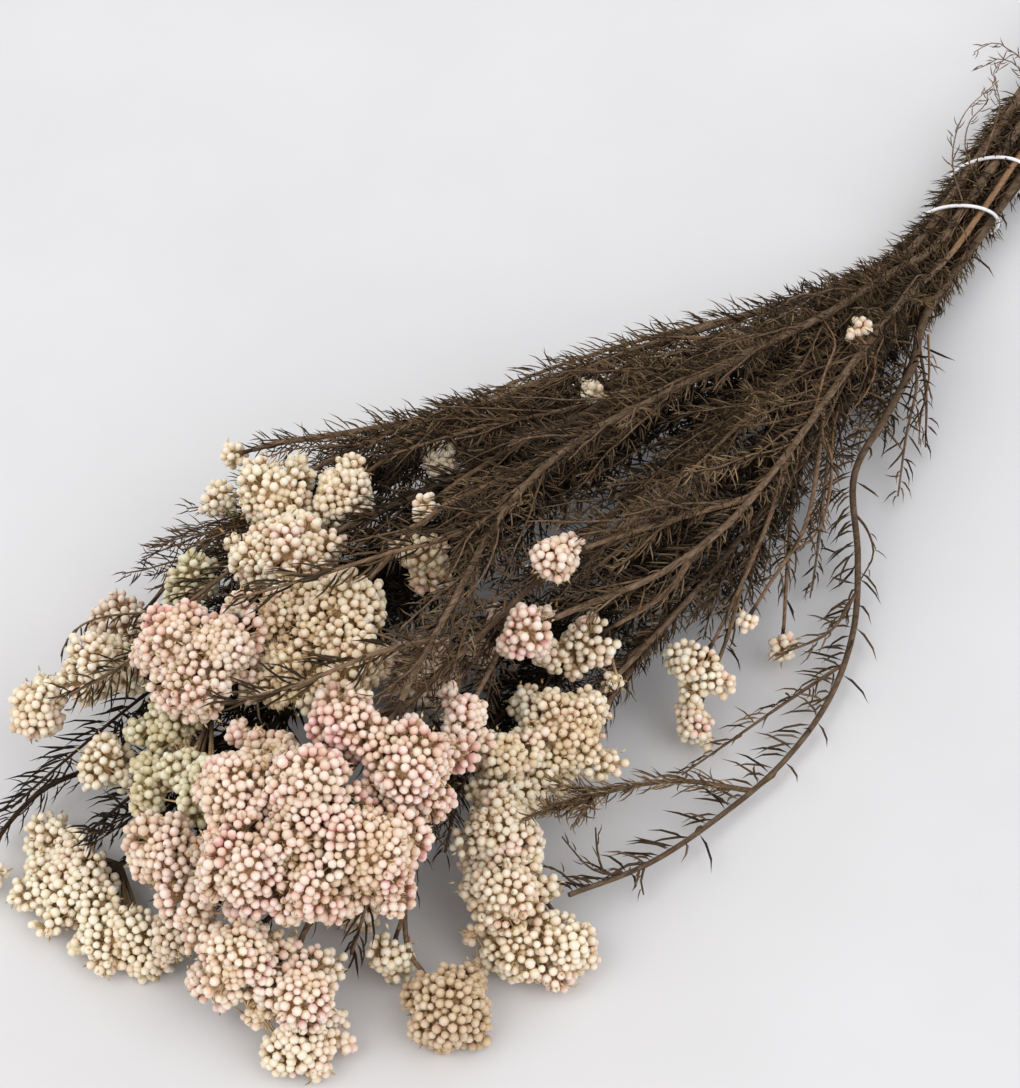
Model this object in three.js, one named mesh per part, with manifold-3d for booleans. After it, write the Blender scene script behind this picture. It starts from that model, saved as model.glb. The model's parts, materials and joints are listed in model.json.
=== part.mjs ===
// A tied bunch of preserved diosma, laid down on a surface. Millimetres, +Z up.
//
// Ten leafy stems leave a bundle that two thin loops hold, and fan out into flower heads.
// The bunch lies along X: the flower tips point to -X and the cut ends to +X. Places are in
// the frame of the layout tables below. At the end the whole bunch moves so that its origin
// is the middle of its footprint, on the surface.
//
// Each leafy stem is one solid: its trunk, its branches and its needle leaves. Each flower
// head is one solid too: short stalks, and a lobe of close buds on each of them.
// The buds are larger than life and fewer, so that they still cover the lobes.

import * as THREE from "three";
import { ConvexGeometry } from "three/addons/geometries/ConvexGeometry.js";
import { mergeVertices } from "three/addons/utils/BufferGeometryUtils.js";
import Module from "manifold-3d";

const wasm = await Module();
wasm.setup();

// Bundle and ties
const BUTT = [318, 44, 10.5]; // middle of the cut ends
const BUNDLE_TURN = 16.6; // degrees that the bundle turns from X towards Y
const TIE_PLACES = [126, 100]; // from the cut ends to each loop
const BUNDLE_STATIONS = [0, 50, 90, 115, 138]; // the stems run side by side through these
const BUTT_STAGGER = 5; // the cut ends are not quite level
const TIE_CORD_RADIUS = 0.8;
const TIE_STEPS = 24;
const TIE_SIDES = 4;

// Stems
const TRUNK_RADIUS = [2.3, 1.0]; // at the cut end and at the head
const BRANCH_RADIUS = [1.15, 0.8];
const TWIG_RADIUS = [1.0, 0.5];
const TRUNK_STEP = 24;
const BRANCH_STEP = 20;
const TRUNK_SIDES = 4; // also the number of rows of needles
const BRANCH_SIDES = 3;

// Clearances
const GAP = 0.3; // between two pieces that touch on the real bunch
const STEM_CLEARANCE = 0.6; // between two stems that pass each other
const LOBE_CLEARANCE = 0.4; // between a stem and the buds of a head

// Flower heads
const STALK_RADIUS = [1.0, 1.3]; // at the neck and inside the lobe
const COLLAR = 3; // length of the neck, from the branch to where the stalks part
const NECK_SET = 0.9; // the neck starts this far out in the hindmost lobe, as a part of its radius
const NECK_START = 1.5; // and this much behind that
const NECK_STRAIGHT = 6; // straight stretch of a branch before a neck
const BUD_SPACING = 7; // from bud to bud
const FEWEST_BUDS = 10; // on the smallest lobes
const CREASE = 0.24; // depth of the creases between the buds, as a part of their spacing
const BUD_COVER = 118; // degrees from the front of a lobe that the buds cover
const BUD_SHUFFLE = 0.2; // how far the buds stray, as a part of their spacing
const SQUEEZE = 0.4; // buds closer than this to another head's are pressed flat

// Needle leaves
const NEEDLE_LENGTH = [9, 13];
const NEEDLE_RADIUS = 0.6;
const NEEDLE_BASE = 0.9; // length of a needle's root along its stem
const NEEDLE_LEANS = [48, 32, 64]; // degrees between a needle and its stem, the first that is clear
const NEEDLE_BARE_X = 172; // the bundle is bare from here to the cut ends
const TIP_NEEDLE = 8; // a leafy tip ends in a needle of this length

const SURFACE_BLOCK = [1200, 1200, 60]; // larger than the bunch

const UP = new THREE.Vector3(0, 0, 1);
const GOLDEN_ANGLE = Math.PI * (3 - Math.sqrt(5));

const COLOURS = {
  cream: "#e6dabb",
  pink: "#dcb6ab",
  green: "#c9cda6",
  tan: "#d2bb97",
  bark: "#4d3b2f",
  tie: "#f1f0ec",
};

// Flower heads: colour, then each lobe as x, y, z and radius over the buds
const HEADS = {
  head_01: ["cream", [-41, 67, 38, 4.5]],
  head_02: ["cream", [-45, 43, 44, 10.5], [-53, 58, 36, 5.5]],
  head_03: ["cream", [-32, 32, 45, 9]],
  head_04: ["cream", [-55, 21, 48, 9.5], [-64, 28, 44, 7]],
  head_05: ["green", [-74, 44, 32, 7.5]],
  head_06: ["pink", [-98, 20, 50, 10], [-92, 7, 54, 9.5], [-102, 3, 48, 8.5]],
  head_07: ["cream", [-62, -6, 56, 10], [-70, -17, 53, 10], [-72, 5, 53, 9], [-80, -6, 50, 7.5]],
  head_08: ["cream", [-110, 37, 33, 10]],
  head_09: ["cream", [-128, 41, 27, 8]],
  head_10: ["green", [-106, 11, 30, 9], [-114, -4, 33, 8], [-125, -1, 29, 6.5]],
  head_11: ["cream", [-124, 19, 22, 7.5]],
  head_12: ["pink", [-114, -27, 49, 11.5], [-104, -41, 54, 11.5], [-100, -60, 45, 13],
    [-123, -41, 43, 12], [-115, -55, 42, 10]],
  head_13: ["pink", [-132, -17, 30, 9], [-135, -31, 24, 7]],
  head_14: ["cream", [-143, 19, 5, 7.5], [-145, 2, 6.5, 10.5], [-146, -17, 6, 10]],
  head_15: ["tan", [-141, -29, 13, 6]],
  head_16: ["cream", [-136, -50, 24, 10], [-129, -64, 18, 9.5], [-134, -70, 6, 8.5]],
  head_17: ["pink", [-144, -45, 14, 4.5]],
  head_18: ["pink", [-86, -34, 58, 9.5], [-81, -51, 53, 11]],
  head_19: ["pink", [-58, -46, 46, 6.5]],
  head_20: ["cream", [-35, -58, 29, 12], [-53, -55, 33, 8]],
  head_21: ["cream", [-65, -66, 27, 9.5]],
  head_22: ["cream", [-74, -78, 18, 11.5], [-77, -86, 9, 10], [-70, -94, 7, 9.5]],
  head_24: ["tan", [-102, -87, 8, 11]],
  head_25: ["cream", [-103, -67, 8, 6]],
  head_26: ["cream", [-13, -44, 34, 7.5], [-24, -41, 36, 5.5]],
  head_27: ["cream", [10, -60, 20, 6.5], [13, -68, 17, 4]],
  head_28: ["cream", [3, -68, 8, 6]],
  head_29: ["cream", [27, -63, 26, 3.5]],
  head_30: ["cream", [39, -67, 8, 4.5]],
  head_31: ["pink", [-15, -34, 62, 6.5]],
  head_32: ["pink", [-31, -39, 50, 7.5]],
  head_33: ["cream", [-22, 8, 52, 4]],
  head_34: ["cream", [-30, 0, 43, 7.5]],
  head_35: ["cream", [-3, 24, 40, 6]],
  head_36: ["cream", [39, 9, 50, 4]],
  head_37: ["cream", [118, -20, 43, 3.5]],
  head_38: ["cream", [-161, 22, 6, 5]],
  back_head_1: ["cream", [-40, 58, 11, 11.5]],
  back_head_2: ["tan", [-88, 58, 9, 11.5]],
  back_head_3: ["cream", [-70, 22, 14, 12]],
  back_head_4: ["pink", [-45, -14, 22, 11]],
  back_head_5: ["tan", [-98, -48, 9, 10]],
};

// Leafy stems. lane is the stem's place in the tied bundle, across and up from its middle.
// path leads from the bundle to the tip, and head names what the stem carries there.
// A branch leaves the trunk where x is at, and may carry a head or end in a leafy tip.
const STEMS = [
  {
    lane: [5.4, 4.8],
    path: [[164, 4, 20], [137, 2, 30], [103, 11, 34], [70, 21, 36], [41, 29, 38], [12, 37, 40],
      [-9, 45, 42], [-24, 56, 42]],
    head: "head_01",
    branches: [
      { at: 12, path: [[-15, 42, 44]], head: "head_02" },
      { at: 35, path: [[0, 33, 45]], head: "head_03" },
      { at: 60, path: [[25, 25, 41]], head: "head_35" },
      { at: 105, path: [[70, 30, 30], [45, 40, 28], [22, 47, 26]] },
    ],
  },
  {
    lane: [8.1, 0],
    path: [[164, 8, 12], [130, 6, 16], [90, 14, 20], [50, 26, 24], [10, 36, 28], [-25, 42, 28],
      [-52, 44, 28]],
    head: "head_05",
    branches: [
      { at: 30, path: [[0, 48, 18]], head: "back_head_1" },
      { at: -5, path: [[-30, 52, 26], [-60, 60, 22]], head: "back_head_2" },
      { at: -25, path: [[-60, 37, 22], [-90, 38, 26]], head: "head_08" },
      { at: -28, path: [[-60, 51, 20], [-85, 46, 20], [-105, 46, 21]], head: "head_09" },
      { at: -42, path: [[-62, 34, 40], [-80, 33, 40], [-98, 30, 39], [-112, 26, 42], [-124, 30, 40]] },
      { at: -15, path: [[-45, 34, 16], [-70, 38, 14], [-95, 33, 17], [-118, 30, 19], [-148, 28, 16]] },
      { at: 90, path: [[60, 28, 14], [30, 41, 12], [5, 48, 10]] },
    ],
  },
  {
    lane: [0, 4.8],
    path: [[164, 1, 22], [147, -3, 30], [112, -9, 42], [87, -9, 48], [62, -9, 53], [25, -8, 60],
      [2, -11, 64], [-15, -15, 66], [-28, -21, 67], [-38, -26, 66], [-48, -29, 64], [-59, -33, 63]],
    head: "head_18",
    branches: [
      { at: 55, path: [[18, -3, 54], [-5, -1, 56], [-16, 1, 57], [-36, 0, 58]], head: "head_07" },
      { at: -22, path: [[-37, -14, 68], [-46, -10, 69], [-67, -2, 69], [-78, 4, 68], [-85, 8, 66]] },
      { at: -50, path: [[-71, -31, 69], [-82, -26, 69], [-97, -22, 67], [-108, -14, 65]] },
    ],
  },
  {
    lane: [2.7, 0],
    path: [[164, 4, 17], [145, 0, 24], [120, 0, 32], [90, 3, 38], [60, 6, 43], [30, 9, 46],
      [5, 12, 47], [-15, 15, 47], [-32, 18, 48]],
    head: "head_04",
    branches: [
      { at: 75, path: [[56, 7, 48]], head: "head_36" },
      { at: 15, path: [[-5, 8, 53]], head: "head_33" },
      { at: 10, path: [[-10, 5, 43]], head: "head_34" },
      { at: -5, path: [[-32, 13, 39], [-60, 11, 37], [-80, 12, 41]], head: "head_06" },
      { at: 100, path: [[75, 13, 44], [52, 19, 46], [30, 23, 47]] },
      { at: 40, path: [[15, 18, 51], [-3, 24, 52], [-16, 28, 53]] },
    ],
  },
  {
    lane: [-2.7, 0],
    path: [[164, 0, 14], [130, -8, 24], [95, -14, 34], [60, -18, 40], [25, -22, 44], [-10, -26, 46],
      [-45, -30, 44], [-75, -34, 44]],
    head: "head_12",
    branches: [
      { at: -22, path: [[-38, -35, 40]], head: "head_19" },
      { at: 62, path: [[35, -28, 48], [12, -35, 50], [-8, -36, 49]] },
      { at: 95, path: [[65, -24, 46], [40, -30, 51], [18, -34, 56]] },
    ],
  },
  {
    lane: [5.4, -4.8],
    path: [[164, 4, 9], [130, 0, 12], [95, 4, 16], [60, 8, 21], [25, 9, 24], [-10, 9, 26],
      [-45, 7, 28], [-80, 4, 26], [-108, 2, 18]],
    head: "head_14",
    branches: [
      { at: -55, path: [[-80, 12, 31]], head: "head_10" },
      { at: -32, path: [[-55, 18, 31], [-88, 27, 25], [-104, 25, 22]], head: "head_11" },
      { at: -68, path: [[-95, -8, 26], [-112, -14, 27]], head: "head_13" },
      { at: 0, path: [[-30, 17, 18]], head: "back_head_3" },
      { at: -92, path: [[-112, 20, 12], [-130, 31, 9], [-149, 32, 6]], head: "head_38" },
      { at: -98, path: [[-118, 8, 21], [-128, 6, 21], [-139, 7, 20]] },
    ],
  },
  {
    lane: [0, -4.8],
    path: [[164, 0, 7], [130, -8, 9], [95, -14, 11], [60, -20, 13], [25, -25, 15], [-10, -32, 16],
      [-45, -38, 18], [-80, -44, 24], [-100, -48, 25], [-114, -51, 20]],
    head: "head_16",
    branches: [
      { at: -82, path: [[-110, -35, 24], [-125, -31, 18]], head: "head_15" },
      { at: -85, path: [[-115, -41, 15], [-130, -41, 12]], head: "head_17" },
      { at: -55, path: [[-75, -62, 24], [-90, -74, 16]], head: "head_24" },
      { at: -72, path: [[-90, -60, 16]], head: "head_25" },
      { at: 20, path: [[-10, -22, 18]], head: "back_head_4" },
      { at: -45, path: [[-74, -45, 11]], head: "back_head_5" },
      { at: -92, path: [[-100, -57, 24], [-107, -60, 18], [-111, -62, 12]] },
      { at: -55, path: [[-66, -50, 18], [-73, -54, 9]] },
    ],
  },
  {
    lane: [-5.4, -4.8],
    path: [[164, -6, 7], [130, -16, 11], [95, -26, 15], [60, -36, 19], [30, -44, 22], [8, -49, 25],
      [-5, -52, 26]],
    head: "head_20",
    branches: [
      { at: 20, path: [[-10, -57, 14], [-36, -60, 13], [-50, -62, 17]], head: "head_21" },
      { at: 42, path: [[5, -62, 12], [-28, -70, 10], [-48, -74, 13]], head: "head_22" },
      { at: 55, path: [[25, -58, 11]], head: "head_28" },
      { at: 78, path: [[56, -52, 12]], head: "head_30" },
      { at: 150, path: [[138, -28, 12], [121, -39, 7], [106, -50, 4]] },
      { at: 95, path: [[78, -45, 9], [62, -57, 4]] },
    ],
  },
  {
    lane: [-5.4, 4.8],
    path: [[164, -6, 20], [140, -14, 30], [113, -25, 40], [79, -37, 48], [65, -43, 52], [46, -48, 54],
      [31, -52, 56], [8, -53, 56], [-6, -48, 54]],
    head: "head_32",
    branches: [
      { at: 30, path: [[12, -44, 62]], head: "head_31" },
      { at: 22, path: [[5, -52, 44]], head: "head_26" },
      { at: 66, path: [[48, -50, 40], [27, -57, 26]], head: "head_27" },
      { at: 76, path: [[55, -57, 38]], head: "head_29" },
      { at: 135, path: [], head: "head_37" },
    ],
  },
  {
    lane: [-8.1, 0],
    path: [[164, -10, 12], [129, -30, 16], [107, -37, 18], [93, -43, 16], [82, -55, 10], [66, -70, 6],
      [45, -83, 5], [22, -90, 4], [6, -92, 4], [-19, -92, 5], [-36, -91, 7], [-51, -88, 10], [-60, -86, 12]],
    branches: [
      { at: 8, path: [[-11, -84, 12], [-33, -77, 22], [-49, -75, 31], [-57, -76, 36]] },
      { at: 46, path: [[29, -80, 7], [15, -79, 7], [-4, -77, 5], [-9, -76, 4]] },
      { at: 60, path: [[46, -74, 12], [38, -72, 14], [31, -71, 15]] },
      { at: 150, path: [[137, -33, 9], [126, -43, 4]] },
    ],
  },
];

// Small geometry helpers

const vector = ([x, y, z]) => new THREE.Vector3(x, y, z);
const mix = THREE.MathUtils.lerp;
const radians = THREE.MathUtils.degToRad;

// A repeatable value from 0 to 1.
function scatter(seed) {
  const value = Math.sin(seed * 12.9898) * 43758.5453;
  return value - Math.floor(value);
}

// Only the positions, with the shared vertices merged.
function welded(geometry) {
  const bare = new THREE.BufferGeometry();
  bare.setAttribute("position", geometry.getAttribute("position"));
  if (geometry.index) bare.setIndex(geometry.index);
  return mergeVertices(bare, 1e-4);
}

// A closed mesh becomes a solid that can be joined and cut.
function solid(geometry) {
  const merged = welded(geometry);
  return new wasm.Manifold(new wasm.Mesh({
    numProp: 3,
    vertProperties: new Float32Array(merged.getAttribute("position").array),
    triVerts: new Uint32Array(merged.index.array),
  }));
}

function meshOf(corners, faces) {
  const geometry = new THREE.BufferGeometry();
  const places = corners.flatMap((corner) => corner.toArray());
  geometry.setAttribute("position", new THREE.Float32BufferAttribute(places, 3));
  geometry.setIndex(faces.flat());
  return geometry;
}

// A round bar that tapers from start to end.
function taper(start, end, startRadius, endRadius, sides) {
  const along = end.clone().sub(start);
  const bar = new THREE.CylinderGeometry(endRadius, startRadius, along.length(), sides, 1);
  bar.applyQuaternion(new THREE.Quaternion().setFromUnitVectors(
    new THREE.Vector3(0, 1, 0), along.clone().normalize()));
  const middle = start.clone().add(end).multiplyScalar(0.5);
  return bar.translate(middle.x, middle.y, middle.z);
}

// Points on a ring round a centre line, square to it. side is the direction of the first one.
function ring(centre, tangent, side, radius, sides) {
  const other = new THREE.Vector3().crossVectors(tangent, side);
  return Array.from({ length: sides }, (_, k) => {
    const angle = (2 * Math.PI * k) / sides;
    return centre.clone()
      .addScaledVector(side, radius * Math.cos(angle))
      .addScaledVector(other, radius * Math.sin(angle));
  });
}

// Closest points of segments a-b and c-d, as their places s and t along them and the offset.
function closest(a, b, c, d) {
  const u = b.clone().sub(a);
  const v = d.clone().sub(c);
  const w = a.clone().sub(c);
  const uu = u.dot(u);
  const uv = u.dot(v);
  const vv = v.dot(v);
  const uw = u.dot(w);
  const vw = v.dot(w);
  const clamp = (value) => Math.min(Math.max(value, 0), 1);
  const area = uu * vv - uv * uv;
  let s = area > 1e-9 ? clamp((uv * vw - vv * uw) / area) : 0.5;
  const t = vv > 1e-9 ? clamp((uv * s + vw) / vv) : 0;
  s = uu > 1e-9 ? clamp((uv * t - uw) / uu) : 0;
  const offset = w.addScaledVector(u, s).addScaledVector(v, -t);
  return { s, t, offset, distance: offset.length() };
}

// Flower heads: their sizes and where their necks start

function makeHead(name, [colour, ...table]) {
  const lobes = table.map(([x, y, z, radius]) => {
    const buds = Math.max(FEWEST_BUDS, Math.round((4 * Math.PI * radius ** 2) / BUD_SPACING ** 2));
    const spacing = Math.sqrt((4 * Math.PI) / buds);
    const pit = radius * (1 - CREASE * spacing);
    return { centre: new THREE.Vector3(x, y, z), radius, buds, spacing, pit };
  });
  const middle = new THREE.Vector3();
  const weight = lobes.reduce((sum, lobe) => sum + lobe.radius ** 2, 0);
  lobes.forEach((lobe) => middle.addScaledVector(lobe.centre, lobe.radius ** 2 / weight));
  return { name, colour, lobes, middle, neck: null };
}

const heads = Object.entries(HEADS).map(([name, table]) => makeHead(name, table));
const headNamed = Object.fromEntries(heads.map((head) => [head.name, head]));

// The neck starts just behind the buds, on the side that the branch comes from.
function placeNeck(head, from) {
  const back = from.clone().sub(head.middle).normalize();
  const reach = Math.max(...head.lobes.map((lobe) =>
    lobe.centre.clone().sub(head.middle).dot(back) + NECK_SET * lobe.radius)) + NECK_START;
  head.back = back;
  head.neck = head.middle.clone().addScaledVector(back, reach);
  return head;
}

// Strands: the centre lines of trunks and branches

function sampled(points, step) {
  const curve = new THREE.CatmullRomCurve3(points, false, "centripetal");
  return curve.getSpacedPoints(Math.max(2, Math.round(curve.getLength() / step)));
}

// A strand that carries a head ends square to its neck, a gap short of it.
function makeStrand(stem, start, path, headName, step, radii, pinnedPart) {
  const guide = [...start, ...path.map(vector)];
  const head = headName ? placeNeck(headNamed[headName], guide[guide.length - 1]) : null;
  if (head) {
    guide.push(head.neck.clone().addScaledVector(head.back, NECK_STRAIGHT));
  }
  const points = sampled(guide, step);
  if (head) points.push(head.neck.clone().addScaledVector(head.back, GAP));
  const pinned = points.map((point, i) => pinnedPart(point, i) || (head !== null && i >= points.length - 2));
  const radius = points.map((_, i) => mix(radii[0], radii[1], i / (points.length - 1)));
  return { stem, head, points, pinned, radius, parent: null };
}

const along = new THREE.Vector3(1, 0, 0).applyAxisAngle(UP, radians(BUNDLE_TURN));
const across = new THREE.Vector3().crossVectors(UP, along).normalize();

function inBundle(fromButt, [u, w]) {
  return vector(BUTT).addScaledVector(along, -fromButt).addScaledVector(across, u).addScaledVector(UP, w);
}

// A branch forks off half way between two points of its trunk.
const forkOf = (trunk, joint) => trunk.points[joint].clone().lerp(trunk.points[joint + 1], 0.5);

function makeStem(table, stem) {
  const start = BUNDLE_STATIONS.map((fromButt) => inBundle(fromButt, table.lane));
  start[0].addScaledVector(along, BUTT_STAGGER * (2 * scatter(stem + 1) - 1));
  const mouth = start[start.length - 1];
  const trunk = makeStrand(stem, start, table.path, table.head, TRUNK_STEP, TRUNK_RADIUS,
    (point) => point.x > mouth.x);
  const strands = [trunk];
  for (const branch of table.branches) {
    const joints = trunk.points.slice(1).map((_, i) => forkOf(trunk, i));
    const away = joints.map((point) => Math.abs(point.x - branch.at));
    const joint = away.indexOf(Math.min(...away));
    const strand = makeStrand(stem, [joints[joint]], branch.path, branch.head,
      BRANCH_STEP, branch.head ? BRANCH_RADIUS : TWIG_RADIUS, () => false);
    strand.parent = trunk;
    strand.joint = joint;
    strands.push(strand);
  }
  return strands;
}

const strands = STEMS.flatMap(makeStem);

// Stems that pass each other, or a head, are eased apart, and stay smooth.

const EASE_ROUNDS = 240;
const EASE_NEAR = 20; // pairs of stretches that start further apart than this never meet
const EASE_SMOOTH = 0.25;
const EASE_FADE = 0.8; // the smoothing fades to nothing over this part of the rounds
const EASE_LOOK = 50; // a lobe further than this from a point can't touch its stretch

function stretches(list) {
  return list.flatMap((strand) => strand.points.slice(1).map((_, i) => ({ strand, i })));
}

function nearPairs(pieces) {
  const pairs = [];
  pieces.forEach((first, i) => {
    for (const second of pieces.slice(i + 1)) {
      if (first.strand.stem === second.strand.stem) continue;
      const gap = closest(first.strand.points[first.i], first.strand.points[first.i + 1],
        second.strand.points[second.i], second.strand.points[second.i + 1]).distance;
      if (gap < EASE_NEAR) pairs.push([first, second]);
    }
  });
  return pairs;
}

function ease() {
  for (const strand of strands) {
    strand.rest = strand.points.map((point) => point.clone());
    strand.push = strand.points.map(() => new THREE.Vector3());
  }
  const necks = heads.flatMap((head) => stalksOf(head).map(({ start, end }) => ({
    stem: head.name,
    points: [start, end],
    radius: [STALK_RADIUS[1], STALK_RADIUS[1]],
    push: [new THREE.Vector3(), new THREE.Vector3()],
    head,
  })));
  const pieces = stretches([...strands, ...necks]);
  const pairs = nearPairs(pieces).filter(([first, second]) => first.strand.head !== second.strand.head
    || first.strand.head === null);
  const lobes = heads.flatMap((head) => head.lobes.map((lobe) => ({ ...lobe, head })));
  const free = stretches(strands);
  for (let round = 0; round < EASE_ROUNDS; round += 1) {
    for (const [first, second] of pairs) {
      const [a, b] = [first.strand, second.strand];
      const near = closest(a.points[first.i], a.points[first.i + 1],
        b.points[second.i], b.points[second.i + 1]);
      const apart = a.radius[first.i] + b.radius[second.i] + STEM_CLEARANCE - near.distance;
      if (apart <= 0) continue;
      const way = near.offset.clone().setLength(apart / 2);
      a.push[first.i].addScaledVector(way, 1 - near.s);
      a.push[first.i + 1].addScaledVector(way, near.s);
      b.push[second.i].addScaledVector(way, near.t - 1);
      b.push[second.i + 1].addScaledVector(way, -near.t);
    }
    for (const { strand, i } of free) {
      for (const lobe of lobes) {
        const reach = lobe.radius + strand.radius[i] + LOBE_CLEARANCE;
        if (lobe.centre.distanceTo(strand.points[i]) > reach + EASE_LOOK) continue;
        const near = closest(strand.points[i], strand.points[i + 1], lobe.centre, lobe.centre);
        if (near.distance >= reach) continue;
        const way = near.offset.clone().setLength((reach - near.distance) / 2);
        strand.push[i].addScaledVector(way, 1 - near.s);
        strand.push[i + 1].addScaledVector(way, near.s);
      }
    }
    const smooth = EASE_SMOOTH * (1 - round / (EASE_FADE * EASE_ROUNDS));
    for (const strand of strands) easeStrand(strand, Math.max(smooth, 0));
  }
}

function easeStrand(strand, smooth) {
  const { points, rest, push, pinned, radius } = strand;
  const moved = points.map((point, i) => point.clone().sub(rest[i]).add(push[i]));
  const last = points.length - 1;
  points.forEach((point, i) => {
    push[i].set(0, 0, 0);
    if (pinned[i]) return;
    const between = moved[Math.max(i - 1, 0)].clone().lerp(moved[Math.min(i + 1, last)], 0.5);
    const shift = moved[i].clone().lerp(between, smooth);
    point.copy(rest[i]).add(shift);
    point.z = Math.max(point.z, radius[i] + GAP);
  });
  if (strand.parent) points[0].copy(forkOf(strand.parent, strand.joint));
}

ease();

// Ties: a closed loop round the outline of the bundle

function tieLoop(fromButt) {
  const reach = TRUNK_RADIUS[0] + GAP + TIE_CORD_RADIUS;
  const loop = [];
  for (let k = 0; k < TIE_STEPS; k += 1) {
    const angle = (2 * Math.PI * k) / TIE_STEPS;
    const [c, s] = [Math.cos(angle), Math.sin(angle)];
    const [u, w] = STEMS.map(({ lane }) => lane)
      .reduce((best, lane) => (lane[0] * c + lane[1] * s > best[0] * c + best[1] * s ? lane : best));
    loop.push(inBundle(fromButt, [u + reach * c, w + reach * s]));
  }
  return loop;
}

const ties = TIE_PLACES.map(tieLoop);

function makeTie(loop) {
  const middle = loop.reduce((sum, point) => sum.add(point), new THREE.Vector3()).divideScalar(loop.length);
  const corners = [];
  const faces = [];
  loop.forEach((point, i) => {
    const outward = point.clone().sub(middle).normalize();
    corners.push(...ring(point, along.clone().cross(outward), outward, TIE_CORD_RADIUS, TIE_SIDES));
    for (let k = 0; k < TIE_SIDES; k += 1) {
      const next = (k + 1) % TIE_SIDES;
      const here = i * TIE_SIDES;
      const there = ((i + 1) % loop.length) * TIE_SIDES;
      faces.push([here + k, here + next, there + next], [here + k, there + next, there + k]);
    }
  });
  return solid(meshOf(corners, faces));
}

// Needles keep clear of every other piece

const barriers = []; // round-ended bars: { owner, strand, order, start, end, radius }

for (const strand of strands) {
  strand.points.slice(1).forEach((end, order) => {
    const start = strand.points[order];
    barriers.push({ owner: strand, order, start, end, radius: strand.radius[order] });
  });
}
for (const head of heads) {
  for (const lobe of head.lobes) {
    barriers.push({ owner: head, start: lobe.centre, end: lobe.centre, radius: lobe.radius });
  }
  for (const { start, end } of stalksOf(head)) {
    barriers.push({ owner: head, start, end, radius: STALK_RADIUS[1] });
  }
}
for (const loop of ties) {
  loop.forEach((start, i) => {
    barriers.push({ owner: loop, start, end: loop[(i + 1) % loop.length], radius: TIE_CORD_RADIUS });
  });
}

// A needle may come near its own stretch of stem only.
function isClear(strand, order, start, end) {
  return barriers.every((bar) => {
    if (bar.owner === strand && Math.abs(bar.order - order) <= 1) return true;
    const reach = NEEDLE_RADIUS + bar.radius + GAP;
    return closest(start, end, bar.start, bar.end).distance >= reach;
  });
}

// Directions spread evenly all round, each a little astray.
function spread(count, stray, seed) {
  const turn = new THREE.Euler(...[seed, seed + 1, seed + 2].map((value) => 2 * Math.PI * scatter(value)));
  return Array.from({ length: count }, (_, k) => {
    const height = 1 - (2 * k + 1) / count;
    const [x, y, z] = [seed + k, 1.7 * seed + k, 2.3 * seed + k].map((value) => scatter(value) - 0.5);
    return new THREE.Vector3().setFromSphericalCoords(1, Math.acos(height), GOLDEN_ANGLE * k)
      .applyEuler(turn).addScaledVector(new THREE.Vector3(x, y, z), 2 * stray).normalize();
  });
}

// A lobe is a ball of close buds. Each bud stands on a corner of a ball of triangles, and the
// creases between the buds join the middles of those triangles.
function lobeOfBuds(head, lobe, seed) {
  const ball = welded(new ConvexGeometry(spread(lobe.buds, BUD_SHUFFLE * lobe.spacing, seed)));
  const places = ball.getAttribute("position");
  const ways = Array.from({ length: places.count }, (_, k) =>
    new THREE.Vector3().fromBufferAttribute(places, k).normalize());
  const triangles = Array.from({ length: ball.index.count / 3 }, (_, f) =>
    [0, 1, 2].map((k) => ball.index.getX(3 * f + k)));
  const at = (way, reach) => lobe.centre.clone().addScaledVector(way, reach);
  const corners = triangles.map(([a, b, c]) =>
    at(ways[a].clone().add(ways[b]).add(ways[c]).normalize(), lobe.pit));
  const faces = [];
  const front = lobe.centre.clone().sub(head.neck).normalize();
  ways.forEach((way, k) => {
    const rim = facesAround(triangles, k);
    if (way.angleTo(front) > radians(BUD_COVER) || isPressed(lobe, at(way, lobe.radius))) {
      for (let i = 1; i < rim.length - 1; i += 1) faces.push([rim[0], rim[i], rim[i + 1]]);
      return;
    }
    corners.push(at(way, lobe.radius));
    rim.forEach((pit, i) => faces.push([corners.length - 1, pit, rim[(i + 1) % rim.length]]));
  });
  return solid(meshOf(corners, faces));
}

// The faces that meet at a corner, counter-clockwise.
function facesAround(triangles, corner) {
  const rim = [triangles.findIndex((face) => face.includes(corner))];
  for (;;) {
    const face = triangles[rim[rim.length - 1]];
    const last = face[(face.indexOf(corner) + 2) % 3];
    const next = triangles.findIndex((other) =>
      other.includes(corner) && other[(other.indexOf(corner) + 1) % 3] === last);
    if (next === rim[0]) return rim;
    rim.push(next);
  }
}

function isPressed(own, top) {
  return heads.some((head) => head.lobes.some((lobe) =>
    lobe !== own && lobe.centre.distanceTo(top) < lobe.radius + SQUEEZE));
}

// Stalks run from the neck to the middle of each lobe.
function stalksOf(head) {
  const parting = head.neck.clone().addScaledVector(head.back, -COLLAR);
  const single = head.lobes.length === 1;
  const stalks = head.lobes.map((lobe) => ({ start: single ? head.neck : parting, end: lobe.centre }));
  return single ? stalks : [{ start: head.neck, end: parting }, ...stalks];
}

function makeFlowerHead(head, order) {
  const stalks = stalksOf(head).map(({ start, end }) =>
    solid(taper(start, end, STALK_RADIUS[0], STALK_RADIUS[1], BRANCH_SIDES)));
  const lobes = head.lobes.map((lobe, i) => lobeOfBuds(head, lobe, 7 * order + 3 * i + 1));
  return wasm.Manifold.union([...stalks, ...lobes]);
}

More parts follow.
